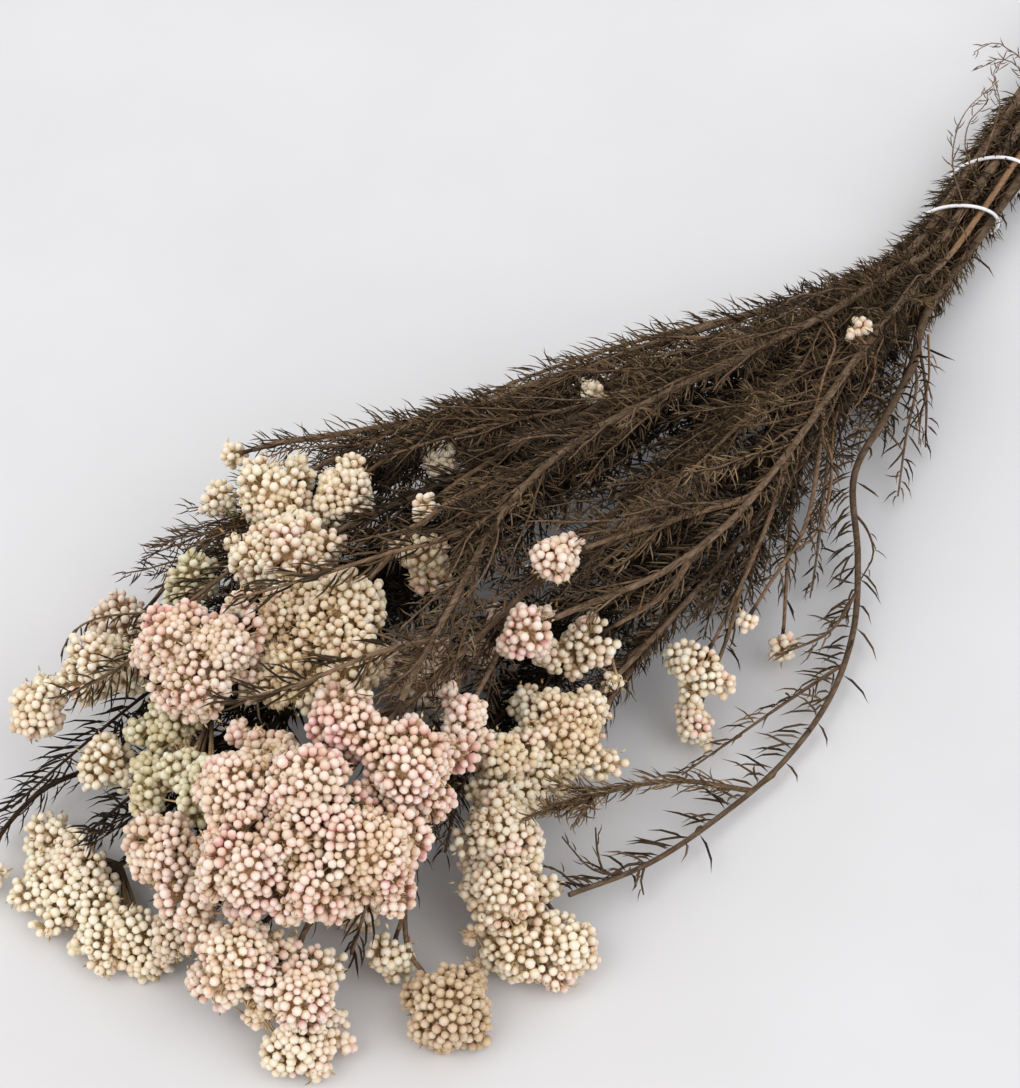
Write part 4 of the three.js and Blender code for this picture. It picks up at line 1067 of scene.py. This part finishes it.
def bud_places(head, rng):
    """Where the buds of a head sit, which way they face, how deep they lie, and the stalk of each."""
    seeds = []
    for centre, radius in zip(head.all_centres, head.all_radii):
        reach = radius - BUD_RADIUS
        count = max(LEAST_SEEDS, round(4 * math.pi * reach ** 2 / (SEED_AREA * BUD_SPACING ** 2)))
        seeds.append(centre + fibonacci(count, rng, 0.3 * BUD_SPACING / reach) * reach)
    seeds = rng.permutation(np.vstack(seeds))
    seeds = seeds[blended(head, seeds)[0] > -BUD_RADIUS - 2.2]
    seeds = settled(head, seeds, -BUD_RADIUS)
    facing_back = np.degrees(np.arccos((blended(head, seeds)[1] @ head.back).clip(-1, 1)))
    shown = facing_back > 180 - BUD_COVER + rng.normal(0, 6, len(seeds))
    seeds = seeds[shown & ~in_other_head(head, seeds)]
    outer = seeds[spaced(seeds, OUTER_LAYER_GAP * BUD_SPACING)]
    for _ in range(PUSH_ROUNDS):
        offset = outer[:, None] - outer
        away = np.linalg.norm(offset, axis=2) + np.eye(len(outer)) * 99
        short = np.maximum(1.02 * BUD_SPACING - away, 0)
        push = (offset / away[..., None] * short[..., None]).sum(1) * 0.35
        outer = settled(head, outer + push, -BUD_RADIUS)
    clusters = outer[spaced(outer, CLUSTER_SPACING)]
    rise = rng.normal(0, CLUSTER_RISE, len(clusters)).clip(-1.2, 1.8)
    paces = [(rng.normal(0, SWELL_PACE, 3), rng.uniform(0, 6.28)) for _ in range(3)]
    relief = ramp(SMALL_LOBE, LARGE_LOBE, head.all_radii.max())

    def sunk(points, extra):
        away = np.linalg.norm(points[:, None] - clusters, axis=2)
        near = away.argmin(1)
        depth = CLUSTER_DEPTH * ramp(0.28, 0.72, away.min(1) / CLUSTER_SPACING) + rise[near]
        depth += SWELL * sum(np.sin(points @ pace + start) for pace, start in paces) / 2
        depth = depth * relief + extra
        outward = blended(head, points)[1]
        lean = unit(outward + 0.16 * (points - clusters[near]))
        return points - outward * depth[:, None], lean, depth, near

    layers = [sunk(outer, rng.normal(0, 0.22, len(outer)))]
    for level in (1, 2):
        inner = sunk(seeds, LAYER * level)
        taken = np.vstack([layer[0] for layer in layers])
        picked = spaced(inner[0], INNER_LAYER_GAP * BUD_SPACING, taken)
        picked = picked[blended(head, inner[0][picked])[0] < -BUD_RADIUS - 0.7 * LAYER * level]
        layers.append(tuple(part[picked] for part in inner))
    places, ways, depth, near = (np.concatenate(parts) for parts in zip(*layers))
    foot = 0.7 * np.clip(ways[:, 2], 0, 1)
    places[:, 2] = np.maximum(places[:, 2], BUD_RADIUS * (1.15 + foot))
    hubs = clusters - blended(head, clusters)[1] * min(HUB_DEPTH, 0.62 * head.all_radii.max())
    return places, ways, ramp(0.2, 3.4, depth), hubs[near], len(outer)


def under_crown(points):
    """How far points lie under the upper side of the spray, which slopes down towards its edges."""
    near, far, crown = (np.interp(points[..., 0], *np.transpose(edge))
                        for edge in (NEAR_EDGE, FAR_EDGE, CROWN))
    aside = (2 * points[..., 1] - near - far) / (far - near)
    return crown * (1 - np.abs(aside).clip(0, 1) ** 3) - points[..., 2]


class Lines:
    """Poly-lines with attributes, gathered for one tube mesh."""

    def __init__(self):
        self.points, self.edges, self.thickness, self.young = [], [], [], []

    def add(self, points, thickness, young):
        first = len(self.points)
        self.points += list(points)
        self.edges += [(first + k, first + k + 1) for k in range(len(points) - 1)]
        self.thickness += list(np.broadcast_to(thickness, len(points)))
        self.young += list(np.broadcast_to(young, len(points)))

    def tubes(self, name, sides, material, shade=None):
        points = np.array(self.points)
        # Bark deep under the crown is darkened by the low attribute: painted shade. A given shade value
        # darkens the whole mesh evenly instead.
        low = ramp(5, 26, under_crown(points)) if shade is None else np.full(len(points), shade)
        return made(name, self.points, self.edges, TUBE_TREE, {"Sides": sides, "Material": material},
                    thickness=np.array(self.thickness) * MM, young=self.young, low=low)


def curved(start, end, toward, bow, count):
    """Points from start to end that set off towards another point."""
    t = np.linspace(0, 1, count)[:, None]
    control = start + (toward - start) * bow
    return (1 - t) ** 2 * start + 2 * t * (1 - t) * control + t ** 2 * end


def build_stalks(head, places, hubs, shown):
    """Stalks from the neck to each cluster, and a short one from there to each outer bud."""
    lines = Lines()
    parting = head.neck - head.back * COLLAR * 0.6
    lines.add([head.neck + head.back * 0.8, parting], (BRANCH_BARK[1], STALK_THICKNESS[0]), 0.0)
    for hub in np.unique(hubs.round(4), axis=0):
        middle = head.all_centres[np.linalg.norm(head.all_centres - hub, axis=1).argmin()]
        count = 6
        points = curved(parting, hub, middle, 0.75, count)
        lines.add(points, np.linspace(*STALK_THICKNESS, count), np.linspace(0, 0.8, count))
    for spot, hub in zip(places[:shown], hubs):
        lines.add([hub, spot], PEDICEL_THICKNESS, 0.8)
    return lines.tubes(f"{head.name}_stalks", 3, STALKS)


def build_core(head, rng):
    """A plain heart inside each lobe, drawn in towards the neck."""
    corners, faces = [], []
    for centre, radius in zip(head.all_centres, head.all_radii):
        reach = radius - CORE_DEPTH
        if reach < 1.5:
            continue
        profile = [(math.cos(math.pi * (1 - k / 6)), math.sin(math.pi * k / 6), 0) for k in range(7)]
        ball, skin = turned(profile, 9)
        ball = unit(np.array(ball))
        front = unit(centre - head.neck)
        back = ramp(0.1, -0.8, ball @ front)
        lumps = 1 + 0.08 * rng.normal(size=len(ball))
        spots = centre + ball * (reach * lumps * (1 - 0.62 * back))[:, None]
        spots[:, 2] = np.maximum(spots[:, 2], 0.5)
        faces += [tuple(len(corners) + k for k in face) for face in skin]
        corners += list(spots)
    if not corners:
        return None
    core = template(f"{head.name}_core", place(corners), faces)
    core.data.materials.append(CORES)
    bpy.context.scene.collection.objects.link(core)
    return core


def build_husks(head, places, ways, rng):
    """Dried husks and bits between the buds, in patches."""
    patch = np.sin(places @ rng.normal(0, 0.22, 3) + rng.uniform(0, 6)) + rng.normal(0, 0.6, len(places))
    chosen = np.repeat(np.flatnonzero(patch > 0.5), 2)
    if len(chosen) < 2:
        return None
    spots = places[chosen] - ways[chosen] * 0.5 + rng.normal(0, 0.85, (len(chosen), 3))
    spots[:, 2] = np.maximum(spots[:, 2], 1.2)
    way = unit(ways[chosen] + rng.normal(0, 0.5, (len(chosen), 3)))
    way[:, 2] = np.where(spots[:, 2] < 4, np.abs(way[:, 2]), way[:, 2])
    return made(f"{head.name}_husks", spots, (), SPROUT_TREE,
                {"Blade": husk, "Thickness": 0.36 * MM, "Material": HUSKS},
                way=way, bend=rng.normal(size=way.shape), length=rng.uniform(1.1, 2.8, len(way)) * MM,
                girth=np.ones(len(way)), tint=rng.beta(2, 2, len(way)))


def build_head(head, seed):
    rng = np.random.default_rng(1000 + seed)
    places, ways, deep, hubs, shown = bud_places(head, rng)
    waves, browning = (sum(np.sin(places @ rng.normal(0, 0.18, 3) + rng.uniform(0, 6)) for _ in range(3)) / 3
                       for _ in range(2))
    tint = 0.36 + BLUSH.get(head.name, 0) + 0.38 * waves + rng.normal(0, 0.17, len(places))
    # The browning share is partly age and partly painted shade.
    aged = 0.08 + AGE_AND_SHADE.get(head.name, 0) + 0.3 * browning + rng.normal(0, 0.2, len(places))
    size = (0.97 + rng.normal(0, BUD_UNEVEN, len(places)).clip(-0.3, 0.22)) * (1 - 0.1 * deep)
    kinds = []
    for kind, part in ((bud, slice(shown)), (inner_bud, slice(shown, None))):
        if len(places[part]):
            kinds.append(made(f"{head.name}_buds", places[part], (), BUD_TREE,
                              {"Bud": kind, "Bud Radius": BUD_RADIUS * MM, "Spin Seed": seed,
                               "Material": BUDS[head.colour]},
                              out=ways[part], size=size[part], deep=deep[part],
                              tint=tint[part].clip(0, 1), aged=aged[part].clip(0, 1)))
    buds = joined(*kinds)
    stalks = build_stalks(head, places, hubs, shown)
    extras = [piece for piece in (build_core(head, rng), build_husks(head, places, ways, rng)) if piece]
    stalks = joined(stalks, *extras)
    dress(buds, head.name)
    dress(stalks, head.name)
    return len(places)


bud_count = sum(build_head(head, seed) for seed, head in enumerate(heads.values()))

# Leafy stems

MOUTH = in_bundle(BUNDLE_STATIONS[-1], (0, 0))
OPEN = unit(np.array(OPEN_SIDE))
SHOWN = np.array([not name.startswith("back") for name in LOBE_OWNERS])
OPEN_CENTRES, OPEN_RADII = LOBE_CENTRES[SHOWN], LOBE_RADII[SHOWN]
LOW, HIGH = (np.array(corner) for corner in packed_box)


def frames_along(line):
    """At each point of a line: which way it runs, its left side, and its upper side."""
    tangent = unit(np.gradient(line, axis=0))
    side = unit(np.cross(UP, tangent) + 1e-6)
    return tangent, side, np.cross(tangent, side)


def in_reach(points, spare):
    """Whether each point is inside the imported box, or past it by no more than spare."""
    spots = place(points)
    return ((spots > LOW - spare * MM) & (spots < HIGH + spare * MM)).all(1)


def hides_head(points, spare):
    """Whether each point is over a flower head, seen from the open side of the bunch."""
    offset = points[:, None] - OPEN_CENTRES
    along = offset @ OPEN
    away = np.linalg.norm(offset - along[..., None] * OPEN, axis=2)
    return ((along > 0) & (away < OPEN_RADII - spare)).any(1)


def hides_bare_stem(points):
    """Whether each point is over the bare stem in the bundle, seen from the open side."""
    offset = points - in_bundle(0, STEMS[BARE_STEM][0])
    offset = offset - (offset @ ALONG)[:, None] * ALONG
    view = unit(OPEN - (OPEN @ ALONG) * ALONG)
    along = offset @ view
    away = np.linalg.norm(offset - along[:, None] * view, axis=1)
    return (points[:, 0] > BARE_FROM + 2) & (along > -1) & (away < 1.8)


def near_tie(points):
    from_butt = (np.array(BUTT) - points) @ ALONG
    return np.min([np.abs(from_butt - tie) for tie in TIE_PLACES.values()], axis=0) < TIE_CLEARANCE


def in_spray(spot):
    """Whether a twig may be here: above the surface, between the edges and clear of the heads."""
    near = np.interp(spot[0], *np.transpose(NEAR_EDGE))
    seen = spot - OPEN * (spot[2] - SEEN_EDGE_HEIGHT) / OPEN[2]
    far = np.interp(seen[0], *np.transpose(SEEN_EDGE))
    if spot[0] > MOUTH_X:
        offset = spot - in_bundle(0, (0, 0))
        if math.hypot(offset @ ACROSS / TIED_OUTLINE[0], offset[2] / TIED_OUTLINE[1]) > 1:
            return False
    spots = spot[None]
    return (near < spot[1] and seen[1] < far and depth_in_lobes(spots, 1.0)[0] < 0
            and in_reach(spots, -2)[0] and not hides_head(spots, 1.0)[0] and not hides_bare_stem(spots)[0])


def finish_strand(strand):
    """The fine line of a strand, its thickness, and where it carries leaves."""
    points = strand.points
    if strand.head:
        points = np.vstack([points[:-1], strand.head.neck])
    strand.line = stepped(points, LINE_STEP)
    x, share = strand.line[:, 0], np.linspace(0, 1, len(strand.line))
    if strand.parent is None:
        butt, mouth, tip = BARK_RADIUS
        inner = mouth + (tip - mouth) * np.clip((MOUTH_X - x) / (MOUTH_X - x[-1]), 0, 1) ** 0.7
        outer = mouth + (butt - mouth) * (x - MOUTH_X) / (BUTT[0] - MOUTH_X)
        strand.thickness = np.where(x > MOUTH_X, outer, inner)
    else:
        strand.thickness = np.interp(share, (0, 1), BRANCH_BARK if strand.head else TIP_BARK)
        if strand.thin:
            strand.thickness = strand.thickness * THIN_BRANCH_GIRTH
    if strand.stem == BARE_STEM and strand.parent is None:
        strand.thickness = strand.thickness * (1 - 0.36 * ramp(BARE_FROM - 25, BARE_FROM, x))
    if strand.stem == ARCHED_STEM and strand.parent is None:
        strand.thickness = strand.thickness * (1 - 0.16 * ramp(120, 80, x))
    from_butt = (np.array(BUTT) - strand.line) @ ALONG
    run = share * length_of(strand.line)
    strand.leafy = from_butt > LEAFY_FROM
    if strand.head:
        bare = strand.head.middle[2] < LOW_HEAD and BARE_NECKS[0] < strand.head.middle[0] < BARE_NECKS[1]
        strand.leafy &= run < run[-1] - (LOW_HEAD_BARE if bare else 7)
    if strand.parent is not None:
        strand.leafy &= run > 3
    if strand.stem == BARE_STEM:
        strand.leafy &= x < BARE_FROM


def twig_line(start, way, flow, length, rng):
    """A side twig that sets off along way and bends back towards flow, or None if it is short."""
    points, step = [start], LINE_STEP
    drift = rng.normal(0, 0.022, 3)
    for _ in range(int(length / step)):
        way = unit(way + 0.11 * (flow - way) + drift + rng.normal(0, 0.055, 3))
        spot = points[-1] + way * step
        spot[2] = max(spot[2], 1.2)
        if not in_spray(spot):
            break
        points.append(spot)
    return np.array(points) if len(points) > 4 else None


def side_twigs(strand, rng):
    tangent, side, top = frames_along(strand.line)
    run = np.linspace(0, length_of(strand.line), len(strand.line))
    twigs, left = [], rng.choice([-1, 1])
    at = rng.uniform(1, TWIG_EVERY)
    while at < run[-1] - 10:
        k = int(np.searchsorted(run, at))
        spot = strand.line[k]
        tied = spot[0] > MOUTH_X
        low = under_crown(spot) > LOW_BY or (strand.stem in FAR_STEMS and spot[0] > 20)
        at += (TIED_TWIG_EVERY if tied else LOW_TWIG_EVERY if low else TWIG_EVERY) * rng.uniform(0.7, 1.3)
        left = -left
        if not strand.leafy[k] or strand.thin or (strand.stem == ARCHED_STEM and not tied):
            continue
        if spot[0] < TWIGS_TO and not (spot[0] > LOW_TWIGS_TO and -34 < spot[1] < 20 and spot[2] < 36):
            continue
        lean = math.radians(rng.uniform(4, 14) if tied else rng.uniform(14, 40))
        angle = rng.normal(0, 0.95)
        out = left * side[k] * math.cos(angle) + top[k] * math.sin(angle)
        radial = tangent[k] if tied else unit(spot - MOUTH)
        flow = unit(tangent[k] + 0.35 * radial + 0.1 * out)
        length = rng.uniform(*TWIG_LENGTH) * (0.7 if strand.parent or tied else 1)
        twig = twig_line(spot, math.cos(lean) * tangent[k] + math.sin(lean) * out, flow, length, rng)
        if twig is not None:
            twigs.append(twig)
    return twigs


class Leaves:
    """Needles of one stem, gathered for one mesh."""

    def __init__(self, rng):
        self.rng = rng
        self.table = {"roots": [], "way": [], "bend": [], "length": [], "girth": [], "tint": []}

    def add(self, line, thickness, where, spacing, lengths, tint, right=0.5, girth=1.0, lean=NEEDLE_LEAN,
            droop=0.0):
        """Needles along a line where it is leafy, with a share of them on its right."""
        rng = self.rng
        run = np.concatenate([[0], np.cumsum(np.linalg.norm(np.diff(line, axis=0), axis=1))])
        at = np.arange(0.5 * spacing, run[-1], spacing)
        at = at + rng.uniform(-0.35, 0.35, len(at)) * spacing
        at = at[np.interp(at, run, np.asarray(where, float)) > 0.5]
        if not len(at):
            return
        tangent, side, top = (np.stack([np.interp(at, run, part[:, k]) for k in range(3)], axis=1)
                              for part in frames_along(line))
        tangent = unit(tangent)
        root = np.stack([np.interp(at, run, line[:, k]) for k in range(3)], axis=1)
        left = np.where(rng.uniform(size=len(at)) < right, -1, 1)
        angle = rng.normal(0, 0.62, len(at)) + np.where(rng.uniform(size=len(at)) < 0.2, math.pi / 2, 0)
        out = side * (left * np.cos(angle))[:, None] + top * np.sin(angle)[:, None]
        lean = np.radians(rng.normal(lean, 11, len(at)))[:, None]
        way = unit(np.cos(lean) * tangent + np.sin(lean) * out + rng.normal(0, 0.09, out.shape) - droop * UP)
        near_tip = np.clip((run[-1] - at) / 12, 0.6, 1)
        length = rng.uniform(*lengths, len(at)) * near_tip
        root = root + out * (np.interp(at, run, thickness) * 0.6)[:, None]
        bend = tangent + 0.45 * rng.normal(size=tangent.shape) - 3 * droop * UP
        low = root[:, 2] + way[:, 2] * length < LOWEST_TIP
        way[:, 2] = np.where(low, (LOWEST_TIP - root[:, 2]) / length, way[:, 2]).clip(-1, 1)
        bend[:, 2] = np.where(low, np.abs(bend[:, 2]), bend[:, 2])
        tip = root + unit(way) * length[:, None]
        keep = (depth_in_lobes(tip, -0.8) < 0) & in_reach(tip, 1.0) & ~near_tie(tip) & ~near_tie(root)
        keep &= ~hides_bare_stem(tip) & ~hides_bare_stem(root)
        # Needles deep under the crown get a darker tint: painted shade.
        tint = tint - 0.015 * (under_crown(root) - 5).clip(0, 24) + rng.normal(0, 0.15, len(at))
        for key, part in (("roots", root), ("way", unit(way)), ("bend", bend), ("length", length * MM),
                          ("girth", np.full(len(at), girth)), ("tint", tint.clip(0, 1))):
            self.table[key].append(part[keep])

    def needles(self, name, blade):
        if not self.table["roots"]:
            return None, 0
        table = {key: np.concatenate(parts) for key, parts in self.table.items()}
        roots = table.pop("roots")
        inputs = {"Blade": blade, "Thickness": NEEDLE_THICKNESS * MM, "Material": NEEDLES}
        return made(name, roots, (), SPROUT_TREE, inputs, **table), len(roots)


def needle_style(strand, number):
    if (strand.stem, number) == HANGING_BRANCH:
        return HANGING_NEEDLES
    if (strand.stem, number) == BRUSH_BRANCH:
        return BRUSH_NEEDLES
    if strand.stem == ARCHED_STEM and strand.parent is None:
        return ARCHED_NEEDLES
    if strand.thin:
        return THIN_BRANCH_NEEDLES
    if strand.head is None and strand.line[-1][0] < LEFT_TIPS_FROM:
        return LEFT_TIP_NEEDLES
    return STEM_NEEDLES


def brush_twigs(strand, rng):
    """Short twigs that spread from the tip of a branch."""
    tangent, side, top = (part[-4:].mean(0) for part in frames_along(strand.line))
    twigs = []
    for _ in range(BRUSH_TWIGS):
        start = strand.line[rng.integers(-9, -1)]
        flow = unit(tangent + rng.normal(0, 0.3) * side + rng.normal(0.12, 0.22) * top)
        steps = np.linspace(0, rng.uniform(10, 19), 7)[:, None]
        twigs.append(start + steps * flow + steps ** 2 * rng.normal(0, 0.006, 3))
    return twigs


def build_stem(stem):
    rng = np.random.default_rng(200 + stem)
    name = f"leafy_stem_{stem + 1:02d}"
    bark, fine_bark = Lines(), Lines()
    leaves, fine_leaves, low_leaves = Leaves(rng), Leaves(rng), Leaves(rng)
    own = [strand for strand in strands if strand.stem == stem]
    for number, strand in enumerate(own, -1):
        finish_strand(strand)
        young = np.full(len(strand.line), 0.1 if strand.parent is None else 0.3)
        if stem == BARE_STEM and strand.parent is None:
            young = ramp(BARE_FROM - 6, BARE_FROM + 8, strand.line[:, 0]) * 0.7 + 0.1
        if strand.parent is None:
            young[0] = 1
        bark.add(strand.line, strand.thickness, young)
        leaves.add(strand.line, strand.thickness, strand.leafy, *needle_style(strand, number))
        if strand.parent is None and stem != ARCHED_STEM:
            bundled = strand.leafy & (strand.line[:, 0] > 140)
            leaves.add(strand.line, strand.thickness, bundled, *BUNDLED_NEEDLES)
        for twig in side_twigs(strand, rng):
            thickness = np.linspace(*TWIG_BARK, len(twig))
            fine_bark.add(twig, thickness, 0.25)
            low = under_crown(twig).mean() > LOW_BY
            if low:
                low_leaves.add(twig, thickness, np.ones(len(twig)), *LOW_TWIG_NEEDLES)
            else:
                fine_leaves.add(twig, thickness, np.ones(len(twig)), NEEDLE_SPACING, TWIG_NEEDLE_LENGTH,
                                rng.normal(0.48, 0.18))
        if (stem, number) == BRUSH_BRANCH:
            for twig in brush_twigs(strand, rng):
                thickness = np.linspace(*TWIG_BARK, len(twig))
                fine_bark.add(twig, thickness, 0.5)
                fine_leaves.add(twig, thickness, np.ones(len(twig)), *BRUSH_TWIG_NEEDLES)
    for _, young, route in (row for row in STRAY_TWIGS if row[0] == stem):
        twig = stepped(np.array(route, float), LINE_STEP)
        tied = route[0][0] > MOUTH_X
        thickness = np.linspace(*STRAY_BARK, len(twig)) * (TIED_STRAY_GIRTH if tied else 1)
        fine_bark.add(twig, thickness, young)
        fine_leaves.add(twig, thickness, np.ones(len(twig)), 2 if tied else 3.2, (3, 5.5), 0.6)
    if stem == HANGING_TWIG[0]:
        twig = stepped(np.array(HANGING_TWIG[1], float), LINE_STEP)
        thickness = np.linspace(*STRAY_BARK, len(twig))
        fine_bark.add(twig, thickness, 0.1)
        fine_leaves.add(twig, thickness, np.ones(len(twig)), *HANGING_TWIG_NEEDLES)
    shade = ARCHED_SHADE if stem == ARCHED_STEM else None
    wood = joined(bark.tubes(f"{name}_bark", 8, BARK, shade),
                  fine_bark.tubes(f"{name}_twigs", 3, BARK, shade))
    grown = [kind.needles(f"{name}_{label}", blade) for kind, label, blade in (
        (leaves, "needles", needle), (fine_leaves, "fine", fine_needle), (low_leaves, "low", low_needle))]
    needles = [piece for piece, count in grown if count]
    for piece in (wood, joined(*needles)):
        dress(piece, name)
    return sum(count for _, count in grown)


needle_count = sum(build_stem(stem) for stem in range(len(STEMS)))

# Ties

CORD_RADIUS = 0.56
CORD_REACH = (10.7, 7.5)
CORD_SLANT = {"tie_1": (-3, 6, 0), "tie_2": (0, 7, -3)}
CORD_STEPS = 120


def build_tie(name, from_butt):
    """A cord round the bundle: how far along it lies in the middle, at its left and on top."""
    middle, left, top = CORD_SLANT[name]
    loop = []
    for k in range(CORD_STEPS):
        across, up = math.cos(2 * math.pi * k / CORD_STEPS), math.sin(2 * math.pi * k / CORD_STEPS)
        spot = (CORD_REACH[0] * across, CORD_REACH[1] * up)
        loop.append(in_bundle(from_butt + middle + left * across + top * up, spot))
    edges = [(k, (k + 1) % CORD_STEPS) for k in range(CORD_STEPS)]
    tie = made(name + "_cord", loop, edges, TUBE_TREE, {"Sides": 12, "Material": TIES},
               thickness=np.full(CORD_STEPS, CORD_RADIUS * MM))
    dress(tie, name)


for tie_name, tie_place in TIE_PLACES.items():
    build_tie(tie_name, tie_place)

for helper in (bud, inner_bud, needle, fine_needle, low_needle, husk):
    bpy.data.objects.remove(helper)

# Floor, light and camera

CAMERA_TARGET = (0, 0, 25)
CAMERA_DISTANCE = 700
CAMERA_AZIMUTH = -43
CAMERA_ELEVATION = 50
CAMERA_LENS = 85
SENSOR = 36
FLOOR_REACH = 3.0


def build_floor():
    shader = Shader("pale floor")
    skin = shader.ramp(shader.noise(6, 4.0), [(0.35, (0.66, 0.66, 0.66)), (0.65, (0.70, 0.70, 0.70))])
    mesh = bpy.data.meshes.new("floor")
    corners = [(x * FLOOR_REACH, y * FLOOR_REACH, 0) for x, y in ((-1, -1), (1, -1), (1, 1), (-1, 1))]
    mesh.from_pydata(corners, [], [(0, 1, 2, 3)])
    mesh.materials.append(shader.finish(skin, Roughness=0.55))
    floor = bpy.data.objects.new("floor", mesh)
    bpy.context.scene.collection.objects.link(floor)


def add_light(name, position, size, power, colour):
    light = bpy.data.lights.new(name, "AREA")
    light.size, light.energy, light.color = size, power, colour
    lamp = bpy.data.objects.new(name, light)
    lamp.location = position
    lamp.rotation_euler = (-Vector(position)).to_track_quat("-Z", "Y").to_euler()
    bpy.context.scene.collection.objects.link(lamp)


def build_camera():
    azimuth, elevation = math.radians(CAMERA_AZIMUTH), math.radians(CAMERA_ELEVATION)
    right = Vector((math.cos(azimuth), math.sin(azimuth), 0))
    ahead = Vector((-math.sin(azimuth), math.cos(azimuth), 0))
    look = ahead * math.cos(elevation) - Vector((0, 0, math.sin(elevation)))
    up = right.cross(look)
    eye = Vector(place(CAMERA_TARGET)) - look * CAMERA_DISTANCE * MM
    data = bpy.data.cameras.new("camera")
    data.lens, data.sensor_width = CAMERA_LENS, SENSOR
    data.clip_start, data.clip_end = 0.01, 20
    camera = bpy.data.objects.new("camera", data)
    camera.matrix_world = Matrix.Translation(eye) @ Matrix((right, up, -look)).transposed().to_4x4()
    bpy.context.scene.collection.objects.link(camera)
    bpy.context.scene.camera = camera


build_floor()
add_light("key", (-2.0, 0.8, 2.6), 2.2, 34, (1.0, 0.97, 0.935))
add_light("fill", (0.6, -2.1, 2.2), 2.6, 33, (0.99, 0.98, 1.0))
build_camera()

scene = bpy.context.scene
scene.view_settings.view_transform = "Standard"
world = bpy.data.worlds.new("studio")
world.use_nodes = True
world.node_tree.nodes["Background"].inputs["Color"].default_value = (0.968, 0.964, 0.995, 1)
world.node_tree.nodes["Background"].inputs["Strength"].default_value = 0.86
scene.world = world

print("buds", bud_count, "needles", needle_count, "shift", SHIFT.round(5))
